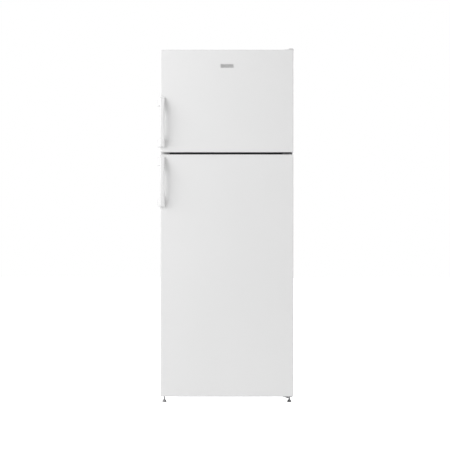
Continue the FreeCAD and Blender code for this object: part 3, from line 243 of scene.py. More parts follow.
MATERIALS = {
    "door_enamel": enamel("door_enamel", (0.80, 0.80, 0.80), 0.00003, 260.0),
    "door_cap": moulded("door_cap", (0.79, 0.79, 0.79), 0.32),
    "handle_plastic": moulded("handle_plastic", (0.80, 0.80, 0.80), 0.3,
                              Coat_Weight=0.15, Coat_Roughness=0.15),
    "badge_metal": brushed_badge("badge_metal"),
    "cabinet_enamel": enamel("cabinet_enamel", (0.79, 0.79, 0.79), 0.00012, 420.0),
    # painted shade: the mullion's front is near-black to stand in for the shadow deep in the gap between the
    # doors, where the real strip is light
    "mullion_paint": enamel("mullion_paint", (0.055, 0.055, 0.058), 0.00003, 300.0),
    "plain_steel": rolled_steel("plain_steel", (0.55, 0.56, 0.57)),
    "bracket_steel": plated("bracket_steel", (0.20, 0.20, 0.205), metallic=0.6),
    "black_metal": black_enamel("black_metal"),
    "liner_plastic": formed_sheet("liner_plastic", (0.82, 0.83, 0.83)),
    "clear_plastic": clear_moulding("clear_plastic", (0.955, 0.98, 0.99)),
    "trim_plastic": moulded("trim_plastic", (0.76, 0.77, 0.78)),
    "shelf_glass": plate_glass("shelf_glass", (0.86, 0.96, 0.92)),
    "foam": foamed("foam", (0.80, 0.70, 0.42)),
    "gasket_vinyl": soft_vinyl("gasket_vinyl", (0.42, 0.42, 0.42)),
    "black_rubber": soft_vinyl("black_rubber", grey(0.03), 0.6),
    "copper": plated("copper", (0.62, 0.30, 0.18), 0.32),
    "aluminium": plated("aluminium", (0.72, 0.73, 0.74), 0.3, (0.05, 1.0, 1.0)),
    "grey_plastic": moulded("grey_plastic", (0.22, 0.23, 0.24), 0.42),
    "foot_plastic": moulded("foot_plastic", (0.30, 0.30, 0.305), 0.45),
    "dark_plastic": moulded("dark_plastic", (0.03, 0.03, 0.032), 0.42),
}

for subpart in frame["record"]["subparts"]:
    mesh = NODES[subpart["node"]].data
    mesh.materials.clear()
    mesh.materials.append(MATERIALS[subpart["material_slot"]])


# ---------------------------------------------------------------- mesh helpers

def new_piece(name, mesh, body, slot):
    """Link a mesh as a piece of the object, with its material, riding on its body."""
    piece = bpy.data.objects.new(name, mesh)
    bpy.context.scene.collection.objects.link(piece)
    mesh.materials.clear()
    mesh.materials.append(MATERIALS[slot])
    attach(piece, body)
    return piece


def mesh_from(name, build, smooth_angle=35.0):
    """A mesh filled by a function of a bmesh, shaded smooth below an angle."""
    mesh = bpy.data.meshes.new(name)
    shape = bmesh.new()
    build(shape)
    bmesh.ops.remove_doubles(shape, verts=shape.verts, dist=1e-6)
    bmesh.ops.recalc_face_normals(shape, faces=shape.faces)
    limit = math.radians(smooth_angle)
    for face in shape.faces:
        face.smooth = True
    for edge in shape.edges:
        edge.smooth = len(edge.link_faces) == 2 and edge.calc_face_angle(0.0) < limit
    shape.to_mesh(mesh)
    shape.free()
    return mesh


def add_rings(shape, rings, cap_start=True, cap_end=True):
    """Faces between closed rings of points, all of one length; the end rings are filled unless told."""
    loops = [[shape.verts.new(point) for point in ring] for ring in rings]
    count = len(loops[0])
    for lower, upper in zip(loops, loops[1:]):
        for step in range(count):
            following = (step + 1) % count
            shape.faces.new((lower[step], lower[following], upper[following], upper[step]))
    if cap_start:
        shape.faces.new(loops[0])
    if cap_end:
        shape.faces.new(loops[-1])


def circle(radius, steps):
    """Points round a circle about the origin, in two coordinates."""
    turns = [2 * math.pi * step / steps for step in range(steps)]
    return [(radius * math.cos(turn), radius * math.sin(turn)) for turn in turns]


def rounded_outline(low, high, radius, steps=6):
    """Points round a rectangle with rounded corners, counter-clockwise, in two coordinates."""
    points = []
    corners = ((high[0] - radius, high[1] - radius, 0), (low[0] + radius, high[1] - radius, 1),
               (low[0] + radius, low[1] + radius, 2), (high[0] - radius, low[1] + radius, 3))
    for across, up, quarter in corners:
        for step in range(steps + 1):
            angle = (quarter + step / steps) * math.pi / 2
            points.append((across + radius * math.cos(angle), up + radius * math.sin(angle)))
    return points


def add_block(shape, low, high, radius, steps=3):
    """A box with every edge rounded by the radius."""
    rings = []
    levels = [(1 - math.cos(step / steps * math.pi / 2), math.sin(step / steps * math.pi / 2))
              for step in range(steps + 1)]
    for rise, spread in levels:
        rings.append((low[2] + radius * rise, radius * (1 - spread)))
    for rise, spread in reversed(levels):
        rings.append((high[2] - radius * rise, radius * (1 - spread)))
    points = []
    for height, inset in rings:
        outline = rounded_outline((low[0] + inset, low[1] + inset), (high[0] - inset, high[1] - inset),
                                  radius, steps)
        points.append([(across, up, height) for across, up in outline])
    add_rings(shape, points)


def add_lathe(shape, profile, centre, axis, steps):
    """A solid of revolution about Z or Y, from (radius, along) points that start and end on the axis."""
    rings = []
    for radius, along in profile:
        ring = []
        for u, v in circle(radius, steps):
            offset = (u, v, along) if axis == "z" else (v, along, u)
            ring.append(Vector(centre) + Vector(offset))
        rings.append(ring)
    add_rings(shape, rings)


# ---------------------------------------------------------------- camera, floor and light

# metres: from the doors' front, beside and above the origin, and what the picture spans at the doors
CAMERA_DISTANCE = 6.0
CAMERA_X, CAMERA_Z = -0.0098, 0.943
FRAME_WIDTH = 2.363
SENSOR_WIDTH = 36.0
FLOOR_SIZE = 14.0
SKY_LIGHT = 0.44
FLOOR_GLOW = 0.16
LIGHT_TARGET = (0, -0.2, 0.9)
# name, place, edge of its square, power
LIGHTS = (
    ("right", (4.4, -0.8, 1.4), 1.6, 45.0),
    ("key", (-3.0, -2.2, 3.0), 3.0, 125.0),
    ("back", (1.5, 3.2, 3.0), 2.0, 30.0),
)


def white_to_camera(tree, strength):
    """A strength that is full where the camera looks straight at it, and as given for the light it sheds."""
    seen = tree.nodes.new("ShaderNodeLightPath").outputs["Is Camera Ray"]
    ranged = tree.nodes.new("ShaderNodeMapRange")
    ranged.inputs["To Min"].default_value = strength
    ranged.inputs["To Max"].default_value = 1.0
    tree.links.new(seen, ranged.inputs["Value"])
    return ranged.outputs["Result"]


def aimed(light, place, target):
    """Put a light at a place, facing the target."""
    light.location = place
    light.rotation_euler = (Vector(target) - Vector(place)).to_track_quat("-Z", "Y").to_euler()


def make_stage():
    """The camera square on to the doors, a pale floor, a white studio and three area lights."""
    door_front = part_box("fridge_door_skin")[0].y
    camera_data = bpy.data.cameras.new("camera")
    camera_data.sensor_width = SENSOR_WIDTH
    camera_data.lens = SENSOR_WIDTH * CAMERA_DISTANCE / FRAME_WIDTH
    camera_data.clip_end = 60.0
    camera = bpy.data.objects.new("camera", camera_data)
    camera.location = (CAMERA_X, door_front - CAMERA_DISTANCE, CAMERA_Z)
    camera.rotation_euler = (math.pi / 2, 0, 0)
    bpy.context.scene.collection.objects.link(camera)
    bpy.context.scene.camera = camera

    floor_mesh = mesh_from("floor", lambda shape: bmesh.ops.create_grid(
        shape, x_segments=2, y_segments=2, size=FLOOR_SIZE))
    floor = bpy.data.objects.new("floor", floor_mesh)
    bpy.context.scene.collection.objects.link(floor)
    pale = Shader("floor_paint", Roughness=0.85, Emission_Color=(1.0, 1.0, 1.0, 1.0))
    pale.colours(pale.noise(1.2, 3.0), grey(0.9), grey(0.92))
    pale.link(white_to_camera(pale.tree, FLOOR_GLOW), pale.bsdf, "Emission Strength")
    floor_mesh.materials.append(pale.material)

    world = bpy.data.worlds.new("studio")
    world.use_nodes = True
    background = world.node_tree.nodes["Background"]
    background.inputs["Color"].default_value = (1.0, 1.0, 1.0, 1.0)
    world.node_tree.links.new(white_to_camera(world.node_tree, SKY_LIGHT), background.inputs["Strength"])
    bpy.context.scene.world = world
    bpy.context.scene.view_settings.view_transform = "Standard"

    for name, place, size, power in LIGHTS:
        light_data = bpy.data.lights.new(name, "AREA")
        light_data.size = size
        light_data.energy = power
        light = bpy.data.objects.new(name, light_data)
        aimed(light, place, LIGHT_TARGET)
        bpy.context.scene.collection.objects.link(light)


# ---------------------------------------------------------------- handles

def handle_mesh():
    """A bow handle: sections drawn along the bow, two end pads that wrap the door's edge."""
    low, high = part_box("freezer_door_handle")
    door_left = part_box("freezer_door_skin")[0].x
    door_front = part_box("freezer_door_skin")[0].y
    gap = 0.3 * MM
    length = high.z - low.z
    right = high.x
    middle = (door_left + right) / 2
    reach = door_front - low.y
    pad = 9 * MM
    grip_depth = 12.4 * MM
    solid_end, lift_length = 26 * MM, 50 * MM
    fullness = 0.62
    sections = 72

    def bow(shape):
        """Solid down to the door at both ends, lifting to a free grip between them."""
        rings = []
        for step in range(sections + 1):
            along = step / sections
            rise = math.sin(math.pi * along) ** fullness
            front = door_front - (pad + (reach - pad) * rise)
            near_end = min(along, 1 - along) * length
            lift = min(1.0, max(0.0, (near_end - solid_end) / lift_length))
            lift = lift * lift * (3 - 2 * lift)
            solid = door_front - gap - front
            depth = solid + (grip_depth - solid) * lift
            waist = 1.2 * MM * rise
            z = low.z + 1.2 * MM + (length - 2.4 * MM) * along
            outline = rounded_outline((door_left + waist, front), (right - waist, front + depth),
                                      3.6 * MM + 1.6 * MM * rise, 6)
            crowned = []
            for across, deep in outline:
                spread = (across - middle) / (right - door_left) * 2
                crown = 2.2 * MM * spread * spread * (1 if deep < front + depth / 2 else 0)
                crowned.append((across, deep + crown, z))
            rings.append(crowned)
        add_rings(shape, rings)

    def wrap(shape, start, tall):
        """One pad: a front plate that turns round the door's edge into a side plate."""
        radius = 13 * MM
        front = door_front - pad
        outline = [(right, door_front - gap), (right, front + 2.2 * MM), (right - 2.2 * MM, front)]
        for step in range(9):
            turn = step / 8 * math.pi / 2
            outline.append((low.x + radius * (1 - math.sin(turn)), front + radius * (1 - math.cos(turn))))
        outline += [(low.x, high.y - 3 * MM), (low.x + 3 * MM, high.y), (door_left - gap, high.y),
                    (door_left - gap, door_front - gap)]
        rings = []
        for inset, height in ((1.6, 0.0), (0.5, 0.5), (0.0, 1.6)):
            rings.append((inset * MM, start + height * MM))
        rings += [(inset, 2 * start + tall - height) for inset, height in reversed(rings)]
        centre_x = sum(across for across, deep in outline) / len(outline)
        centre_y = sum(deep for across, deep in outline) / len(outline)
        share = 0.7
        layers = []
        for inset, height in rings:
            layers.append([(across + math.copysign(inset, centre_x - across) * share,
                            deep + math.copysign(inset, centre_y - deep) * share, height)
                           for across, deep in outline])
        add_rings(shape, layers)

    def whole(shape):
        lower_pad, upper_pad = 40 * MM, 46 * MM
        bow(shape)
        wrap(shape, low.z, lower_pad)
        wrap(shape, high.z - upper_pad, upper_pad)

    return mesh_from("bow_handle", whole)


def make_handles():
    """One handle's parts melted into a single skin, then a copy of it on each door."""
    rough_shape = bpy.data.objects.new("handle_form", handle_mesh())
    bpy.context.scene.collection.objects.link(rough_shape)
    remesh = rough_shape.modifiers.new("skin", "REMESH")
    remesh.mode = "VOXEL"
    remesh.voxel_size = 1.1 * MM
    smooth = rough_shape.modifiers.new("soften", "SMOOTH")
    smooth.factor = 0.5
    smooth.iterations = 4
    depsgraph = bpy.context.evaluated_depsgraph_get()
    final = bpy.data.meshes.new_from_object(rough_shape.evaluated_get(depsgraph))
    bpy.data.objects.remove(rough_shape)
    for polygon in final.polygons:
        polygon.use_smooth = True
    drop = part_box("fridge_door_handle")[0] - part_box("freezer_door_handle")[0]
    for body, shift in (("freezer_door", Vector()), ("fridge_door", drop)):
        mesh = final.copy()
        mesh.transform(Matrix.Translation(shift))
        piece = new_piece(body + "_bow_handle", mesh, body, "handle_plastic")
        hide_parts(body + "_handle")


# ---------------------------------------------------------------- outside details

def add_frame(shape, low, high, radius, profile, axis):
    """A closed section drawn round a rectangle with rounded corners.

    The section's points are (inset from the rectangle, distance along the axis)."""
    rings = []
    for inset, along in profile:
        outline = rounded_outline((low[0] + inset, low[1] + inset), (high[0] - inset, high[1] - inset),
                                  max(radius - inset, 0.4 * MM), 5)
        if axis == "z":
            rings.append([(across, up, along) for across, up in outline])
        else:
            rings.append([(across, along, up) for across, up in outline])
    rings.append(rings[0])
    add_rings(shape, rings, cap_start=False, cap_end=False)


def make_badge():
    """A blank brushed plate with a raised border."""
    low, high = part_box("freezer_door_badge")
    back, front = high.y, low.y

    def plate(shape):
        corner = 4 * MM
        # inset in mm, then place along Y
        layers = ((0.5, back), (0.0, back - 0.5 * MM), (0.0, front + 0.9 * MM), (0.3, front + 0.3 * MM),
                  (0.9, front), (2.0, front), (2.5, front + 0.35 * MM), (2.9, front + 0.9 * MM))
        rings = []
        for inset, along in layers:
            gap = inset * MM
            outline = rounded_outline((low.x + gap, low.z + gap), (high.x - gap, high.z - gap),
                                      corner - gap, 6)
            rings.append([(across, along, up) for across, up in outline])
        add_rings(shape, rings)

    piece = new_piece("freezer_door_plate", mesh_from("badge_plate", plate), "freezer_door", "badge_metal")
    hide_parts("freezer_door_badge")


def make_feet():
    """Levelling feet: a domed pad under a threaded stem."""
    pitch = 1.25 * MM
    root, crest = 3.5 * MM, 4.15 * MM
    for name in ("left_foot", "right_foot"):
        low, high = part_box(name)
        centre = ((low.x + high.x) / 2, (low.y + high.y) / 2, 0)
        radius = (high.x - low.x) / 2
        height = high.z - low.z
        pad = [(0, 0), (radius - 1.6 * MM, 0), (radius - 0.4 * MM, 0.6 * MM), (radius, 1.8 * MM),
               (radius, 4.6 * MM), (radius - 0.5 * MM, 6.4 * MM), (radius - 2.2 * MM, 9.4 * MM),
               (radius - 4.2 * MM, 12.2 * MM), (radius - 5.6 * MM, 13.4 * MM), (0, 13.6 * MM)]
        stem = [(0, 13.0 * MM), (root, 13.0 * MM)]
        for turn in range(int((height - 15 * MM) / pitch)):
            level = 14.2 * MM + turn * pitch
            stem += [(root, level), (crest, level + 0.6 * MM)]
        stem += [(3.4 * MM, height - 0.6 * MM), (0, height)]
        base = new_piece(name + "_pad", mesh_from(name + "_pad", lambda shape: add_lathe(
            shape, pad, centre, "z", 48)), name, "foot_plastic")
        new_piece(name + "_screw", mesh_from(name + "_screw", lambda shape: add_lathe(
            shape, stem, centre, "z", 32)), name, "plain_steel")
        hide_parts(name)


def make_hinge_cover():
    """The plastic cap over the top hinge: a low dome with a nose round the pin."""
    low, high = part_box("top_hinge_cover")
    door_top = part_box("freezer_door_caps")[1].z + 0.7 * MM
    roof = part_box("outer_shell")[1].z + 0.3 * MM
    nose = high.x - 33.5 * MM
    step_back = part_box("outer_shell")[0].y + 2 * MM
    slope_start, slope_end = low.y + 20 * MM, low.y + 53 * MM
    edge_round = 5.5 * MM
    arc = 6

    def plan(inset):
        """The cover's outline, each corner drawn as a curve of the bend given in mm."""
        points = []
        corners = ((high.x - inset, high.y - inset, 6), (low.x + inset, high.y - inset, 6),
                   (low.x + inset, slope_end, 5), (nose + inset, slope_start, 5),
                   (nose + inset, low.y + inset, 9), (high.x - inset, low.y + inset, 9))
        count = len(corners)
        for step, (x, y, bend) in enumerate(corners):
            corner = Vector((x, y))
            before = Vector(corners[step - 1][:2]) - corner
            after = Vector(corners[(step + 1) % count][:2]) - corner
            reach = max(bend * MM - inset * 0.5, 1 * MM)
            start = corner + before.normalized() * reach
            end = corner + after.normalized() * reach
            for part in range(arc + 1):
                share = part / arc
                points.append(start.lerp(corner, share).lerp(corner.lerp(end, share), share))
        return points

    def cap(shape):
        tall = high.z - door_top
        layers = []
        for step in range(arc + 1):
            turn = step / arc * math.pi / 2
            layers.append((edge_round * (1 - math.cos(turn)), high.z - tall * (1 - math.sin(turn))))
        rings = [[(point.x, point.y, level) for point in plan(inset)] for inset, level in layers]
        skirt = [(point.x, point.y, roof if point.y > step_back else door_top) for point in plan(0.0)]
        add_rings(shape, [skirt] + rings, cap_start=False)

    mesh = mesh_from("hinge_cap", cap, 60.0)
    piece = new_piece("top_hinge_cap", mesh, "cabinet", "door_cap")
    wall = piece.modifiers.new("wall", "SOLIDIFY")
    wall.thickness = 1.6 * MM
    wall.offset = -1.0
    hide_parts("top_hinge_cover")


# ---------------------------------------------------------------- door insides

# inset in mm, then share of the gasket's depth
GASKET_SECTION = ((1.0, 0.0), (0.4, 0.12), (2.6, 0.30), (0.8, 0.44), (2.2, 0.56), (0.3, 0.68), (0.2, 0.86),
                  (1.2, 0.97), (3.0, 1.0), (8.0, 0.96), (13.0, 1.0), (14.8, 0.97), (15.8, 0.86), (15.7, 0.68),
                  (13.8, 0.56), (15.2, 0.44), (13.4, 0.30), (15.6, 0.12), (15.0, 0.0))


def make_gaskets():
    """Magnetic gaskets: a fat sealing lip on a bellows, drawn round each door."""
    for body in ("freezer_door", "fridge_door"):
        name = body + "_gasket"
        low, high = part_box(name)
        depth = high.y - low.y
        section = [(inset * MM, low.y + depth * share) for inset, share in GASKET_SECTION]
        mesh = mesh_from(name + "_bellows", lambda shape: add_frame(
            shape, (low.x, low.z), (high.x, high.z), 7 * MM, section, "y"), 60.0)
        piece = new_piece(name + "_bellows", mesh, body, "gasket_vinyl")
        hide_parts(name)


RACKS = (("freezer_upper_bin", "freezer_door"), ("freezer_lower_bin", "freezer_door"),
         ("fridge_dairy_rack", "fridge_door"), ("fridge_middle_rack", "fridge_door"),
         ("fridge_bottle_rack", "fridge_door"))


def add_rim(name, low, high, radius, bead, drop, body):
    """A rolled rim of clear plastic round a tray's top: a bead in the middle of its wall."""
    wall_middle = 1.25 * MM
    section = [(wall_middle - u, high.z - drop + v) for u, v in circle(bead, 10)]
    mesh = mesh_from(name, lambda shape: add_frame(
        shape, (low.x, low.y), (high.x, high.y), radius, section, "z"), 60.0)
    new_piece(name, mesh, body, "clear_plastic")


def make_rack_bands():
    """A rolled rim round each rack's top, and three satin bands across its face."""
    margin = 14 * MM
    for name, body in RACKS:
        low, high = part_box(name)
        # the dairy rack's rim stays inside its wall, clear of the lid's lip
        bead = (1.1 if name == "fridge_dairy_rack" else 1.9) * MM
        add_rim(name + "_rim", low, high, 9 * MM, bead, 2.0 * MM, body)

        def band(shape):
            for level in (0.30, 0.42, 0.54):
                z = low.z + (high.z - low.z) * level
                add_block(shape, (low.x + margin, high.y - 0.3 * MM, z - 1.6 * MM),
                          (high.x - margin, high.y + 1.2 * MM, z + 1.6 * MM), 0.7 * MM, 2)

        new_piece(name + "_band", mesh_from(name + "_band", band), body, "trim_plastic")


def make_bottle_divider():
    """A clip on the lowest rack's face, with the partition that it carries."""
    low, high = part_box("fridge_bottle_rack")

    def divider(shape):
        x = low.x + (high.x - low.x) * 0.62
        wall = 2.6 * MM
        add_block(shape, (x - 12 * MM, high.y - wall - 3 * MM, low.z + 40 * MM),
                  (x + 12 * MM, high.y - wall, high.z + 1.5 * MM), 1.2 * MM, 3)
        add_block(shape, (x - 1.2 * MM, low.y + 8 * MM, low.z + 42 * MM),
                  (x + 1.2 * MM, high.y - 4 * MM, high.z - 14 * MM), 1.0 * MM, 3)

    new_piece("fridge_bottle_divider", mesh_from("bottle_divider", divider), "fridge_door", "trim_plastic")


# ---------------------------------------------------------------- inside the compartments

def make_crisper_face():
    """The drawer's grip rail, its rim and the upright ribs of its front."""
    low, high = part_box("crisper_drawer")
    wall_front = low.y + 6 * MM
    rib_pitch = 26 * MM
    grip_half = 92 * MM
    grip_top = high.z - 27 * MM

    def ribs(shape):
        for column in range(-9, 10):
            x = column * rib_pitch
            if abs(x) > grip_half + 4 * MM:
                add_block(shape, (x - 1.6 * MM, wall_front - 1.0 * MM, low.z + 18 * MM),
                          (x + 1.6 * MM, wall_front + 0.4 * MM, high.z - 60 * MM), 0.6 * MM, 2)

    new_piece("crisper_front_ribs", mesh_from("crisper_ribs", ribs), "crisper_drawer", "clear_plastic")
    add_rim("crisper_rim", Vector((low.x, wall_front, low.z)), high, 16 * MM, 2.0 * MM, 2.2 * MM,
            "crisper_drawer")

    def grip(shape):
        add_block(shape, (-grip_half, low.y, high.z - 33 * MM),
                  (grip_half, wall_front + 0.4 * MM, grip_top), 1.8 * MM, 3)
        add_block(shape, (-grip_half, low.y, high.z - 40 * MM),
                  (grip_half, low.y + 2.4 * MM, grip_top), 1.1 * MM, 3)

    new_piece("crisper_grip", mesh_from("crisper_grip", grip), "crisper_drawer", "trim_plastic")


def make_controls():
    """The fluted knob with its pointer, the raised dots round it, and the ribbed lamp lens."""
    low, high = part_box("thermostat_knob")
    centre = Vector(((low.x + high.x) / 2, 0, (low.z + high.z) / 2))
    radius = (high.x - low.x) / 2
    flutes, flute_depth = 24, 0.035
    steps = 4 * flutes
    # shares of the radius and of the depth
    profile = ((0.0, 0.30), (0.58, 0.30), (0.74, 0.34), (0.80, 0.42), (0.86, 0.62),
               (0.97, 0.70), (1.0, 0.74), (1.0, 0.80), (0.9, 0.82), (0.0, 0.82))

    def knob(shape):
        rings = []
        for share, along in profile:
            ring = []
            for step in range(steps):
                turn = 2 * math.pi * step / steps
                flute = flute_depth * (1 + math.cos(turn * flutes)) * (1 if 0.7 < share < 0.9 else 0)
                reach = radius * (share - flute)
                y = low.y + (high.y - low.y) * along
                ring.append((centre.x + reach * math.cos(turn), y, centre.z + reach * math.sin(turn)))
            rings.append(ring)
        add_rings(shape, rings)
        add_block(shape, (centre.x - 2.4 * MM, low.y, centre.z - 12.6 * MM),
                  (centre.x + 2.4 * MM, low.y + (high.y - low.y) * 0.42, centre.z + 12.6 * MM), 1.1 * MM, 3)
        add_lathe(shape, [(0, high.y - 9 * MM), (3.6 * MM, high.y - 9 * MM), (3.9 * MM, high.y - 1 * MM),
                          (3.2 * MM, high.y), (0, high.y)], (centre.x, 0, centre.z), "y", 24)

    dial = mesh_from("thermostat_dial", knob)
    piece = new_piece("thermostat_dial", dial, "thermostat_knob", "trim_plastic")
    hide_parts("thermostat_knob")
    pointer = mesh_from("dial_pointer", lambda shape: add_block(
        shape, (centre.x - 0.8 * MM, low.y - 0.3 * MM, centre.z + 5 * MM),
        (centre.x + 0.8 * MM, low.y + 0.5 * MM, centre.z + 11.6 * MM), 0.3 * MM, 2))
    new_piece("thermostat_pointer", pointer, "thermostat_knob", "dark_plastic")

    box_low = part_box("control_box")[0]

    def marks(shape):
        """Seven dots round the knob, each a little larger than the one before."""
        ring = 23 * MM
        for step in range(7):
            turn = math.radians(225 - 45 * step)
            x = centre.x + ring * math.cos(turn)
            z = centre.z + ring * math.sin(turn)
            half = (0.7 + 0.12 * step) * MM
            add_lathe(shape, [(0, box_low.y + 0.2 * MM), (half, box_low.y + 0.2 * MM),
                              (half, box_low.y - 0.4 * MM), (0, box_low.y - 0.5 * MM)], (x, 0, z), "y", 16)

    new_piece("dial_marks", mesh_from("dial_marks", marks), "cabinet", "dark_plastic")

    def lens(shape):
        """A shallow trough under the box, with a rib at every other section."""
        middle_x, half_width = -60 * MM, 52 * MM
        sections, pitch = 40, 4 * MM
        rings = []
        for column in range(sections + 1):
            y = box_low.y + 40 * MM + column * pitch
            sag = (3.0 + 1.2 * math.cos(column * math.pi)) * MM
            edge = math.sin(math.pi * column / sections) ** 0.35
            drop = sag * edge + 0.4 * MM
            ring = []
            for step in range(17):
                turn = math.pi * step / 16
                z = box_low.z + 0.6 * MM - drop * math.sin(turn) ** 0.5
                ring.append((middle_x + half_width * math.cos(turn), y, z))
            rings.append(ring)
        add_rings(shape, rings)

    new_piece("lamp_lens", mesh_from("lamp_lens", lens, 20.0), "cabinet", "clear_plastic")


# ---------------------------------------------------------------- fan, screws, rollers and the rear

def make_fan():
    """Five swept, twisted blades on a bored hub."""
    low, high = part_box("evaporator_fan")
    motor_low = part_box("fan_motor")[0]
    centre = Vector((0.0, motor_low.y + 17 * MM, (low.z + high.z) / 2))
    reach = (high.z - centre.z) - 0.4 * MM
    hub_radius = 13 * MM
    root = hub_radius - 1.5 * MM
    bore = 2.3 * MM
    blades, stations = 5, 10
    half_depth = 7.4 * MM

    def fan(shape):
        add_lathe(shape, [(0, low.y + 2.2 * MM), (bore, low.y + 2.2 * MM), (bore, high.y),
                          (hub_radius - 1 * MM, high.y), (hub_radius, high.y - 1 * MM),
                          (hub_radius, low.y + 3.5 * MM), (hub_radius - 1.2 * MM, low.y + 1.2 * MM),
                          (hub_radius - 4 * MM, low.y + 0.2 * MM), (0, low.y)],
                  (centre.x, 0, centre.z), "y", 40)
        middle = (low.y + high.y) / 2
        for blade in range(blades):
            rings = []
            for step in range(stations + 1):
                share = step / stations
                radius = root + (reach - hub_radius + 1.5 * MM) * share
                pitch = math.radians(38 - 18 * share)
                chord = (20 + 16 * math.sin(math.pi * min(share * 0.75 + 0.1, 1))) * MM
                sweep = blade * 2 * math.pi / blades + 0.35 * share
                ring = []
                for side in range(16):
                    turn = 2 * math.pi * side / 16
                    along = chord / 2 * math.cos(turn)
                    thick = 0.8 * MM * math.sin(turn) + 1.6 * MM * (1 - math.cos(turn) ** 2)
                    axial = max(min(along * math.sin(pitch) + thick, half_depth), -half_depth)
                    angle = sweep + along * math.cos(pitch) / max(radius, 14 * MM)
                    ring.append((centre.x + radius * math.cos(angle), middle + axial,
                                 centre.z + radius * math.sin(angle)))
                rings.append(ring)
            add_rings(shape, rings)

    piece = new_piece("evaporator_fan_wheel", mesh_from("fan_wheel", fan), "evaporator_fan", "dark_plastic")
    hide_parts("evaporator_fan")


def add_screw(shape, spot, outward, radius, height):
    """A domed screw head with a cross recess, on a face that looks along Y: outward is 1 or -1."""
    arm_length, arm_half = radius * 0.58, radius * 0.16

    def ring(level, reach_at):
        points = []
        for step in range(48):
            turn = 2 * math.pi * step / 48
            reach = reach_at(abs(math.cos(turn)), abs(math.sin(turn)))
            points.append((spot[0] + reach * math.cos(turn), spot[1] + outward * level,
                           spot[2] + reach * math.sin(turn)))
        return points

    def recess(cosine, sine):
        return min(arm_length / max(cosine, sine), arm_half / max(min(cosine, sine), 1e-3))

    rings = [ring(-0.1 * MM, lambda cosine, sine: radius)]
    for share, level in ((1.0, 0.35), (0.93, 0.72), (0.78, 0.94), (0.66, 1.0)):
        rings.append(ring(height * level, lambda cosine, sine, share=share: radius * share))
    rings.append(ring(height, recess))
    rings.append(ring(height * 0.35, lambda cosine, sine: recess(cosine, sine) * 0.7))
    add_rings(shape, rings)


SMALL_HEAD = (3.6 * MM, 1.8 * MM)
HINGE_HEAD = (3.9 * MM, 2.1 * MM)


def make_screws():
    """Screws of the rear panel, the bay cover and the middle hinge."""
    panel_low, panel_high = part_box("rear_panel")
    shell_front, shell_back = (corner.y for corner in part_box("outer_shell"))
    bay_low, bay_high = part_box("bay_cover")
    hinge_low, hinge_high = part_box("middle_hinge")
    panel_edge, bay_edge, end_gap = 14 * MM, 12 * MM, 60 * MM

    def rear(shape):
        for side in (-1, 1):
            for step in range(6):
                z = panel_low.z + end_gap + (panel_high.z - panel_low.z - 2 * end_gap) * step / 5
                add_screw(shape, (side * (panel_high.x - panel_edge), shell_back, z), 1, *SMALL_HEAD)
        for x in (-0.18, 0.0, 0.18):
            add_screw(shape, (x, shell_back, panel_high.z - panel_edge), 1, *SMALL_HEAD)

    def bay(shape):
        for x in (-0.325, -0.11, 0.11, 0.325):
            for z in (bay_low.z + bay_edge, bay_high.z - bay_edge):
                add_screw(shape, (x, bay_high.y, z), 1, *SMALL_HEAD)

    def hinge(shape):
        plate = shell_front - 2.5 * MM
        middle = (hinge_low.z + hinge_high.z) / 2
        for z in (-6.4 * MM, 6.4 * MM):
            add_screw(shape, (304 * MM, plate, middle + z), -1, *HINGE_HEAD)

    new_piece("rear_panel_screws", mesh_from("rear_panel_screws", rear), "cabinet", "plain_steel")
    new_piece("bay_cover_screws", mesh_from("bay_cover_screws", bay), "cabinet", "plain_steel")
    new_piece("middle_hinge_screw_heads", mesh_from("middle_hinge_screws", hinge), "cabinet", "plain_steel")


def make_cover_ribs():
    """Upright stiffening ribs pressed in the freezer's back wall, and a bead round the fan's mouth."""
    low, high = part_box("evaporator_cover")
    face = low.y
    fan_low, fan_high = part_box("evaporator_fan")
    fan_z = (fan_low.z + fan_high.z) / 2
    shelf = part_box("freezer_shelf")[1].z
    lower_row = [column * 30 * MM for column in range(-8, 9)]
    upper_row = [(90 + column * 36) * MM for column in range(5)]

    def ribs(shape):
        for row, bottom, top in ((lower_row, low.z + 52 * MM, low.z + 112 * MM),
                                 (upper_row, shelf + 24 * MM, high.z - 40 * MM)):
            for x in row:
                add_block(shape, (x - 3 * MM, face - 1.6 * MM, bottom), (x + 3 * MM, face + 0.4 * MM, top),
                          1.0 * MM, 3)

    def bead(shape):
        inner = (fan_high.z - fan_z) + 6.2 * MM
        section = [(inner + 2.2 * MM + u, face - 0.2 * MM + v) for u, v in circle(2 * MM, 10)]
        section.append(section[0])
        rings = [[(u, y, fan_z + v) for u, v in circle(radius, 64)] for radius, y in section]
        add_rings(shape, rings, cap_start=False, cap_end=False)

    new_piece("cover_ribs", mesh_from("cover_ribs", ribs), "cabinet", "liner_plastic")
    new_piece("fan_mouth_bead", mesh_from("fan_mouth_bead", bead, 60.0), "cabinet", "liner_plastic")


def make_shelf_trims():
    """Two rounded beads on each glass shelf's front trim, with a fine groove between them."""
    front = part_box("shelf_trims")[0].y
    for name in ("upper_shelf_glass", "lower_shelf_glass"):
        low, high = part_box(name)

        def bead(shape):
            middle = (low.z + high.z) / 2
            for level in (-3.4, 3.4):
                add_block(shape, (low.x + 1 * MM, front - 0.9 * MM, middle + (level - 1.4) * MM),
                          (high.x - 1 * MM, front + 0.5 * MM, middle + (level + 1.4) * MM), 0.6 * MM, 3)

        new_piece(name + "_trim_bead", mesh_from(name + "_bead", bead), "cabinet", "trim_plastic")


def make_rear_fold():
    """The strip of the outer wrap that is folded in over the rear panel's top edge."""
    shell_low, shell_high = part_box("outer_shell")
    panel_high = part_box("rear_panel")[1]
    back = shell_high.y

    def fold(shape):
        add_block(shape, (shell_low.x + 3 * MM, back - 1.6 * MM, panel_high.z - 6 * MM),
                  (shell_high.x - 3 * MM, back + 0.4 * MM, shell_high.z - 1.2 * MM), 0.6 * MM, 2)

    new_piece("rear_top_fold", mesh_from("rear_top_fold", fold), "cabinet", "cabinet_enamel")


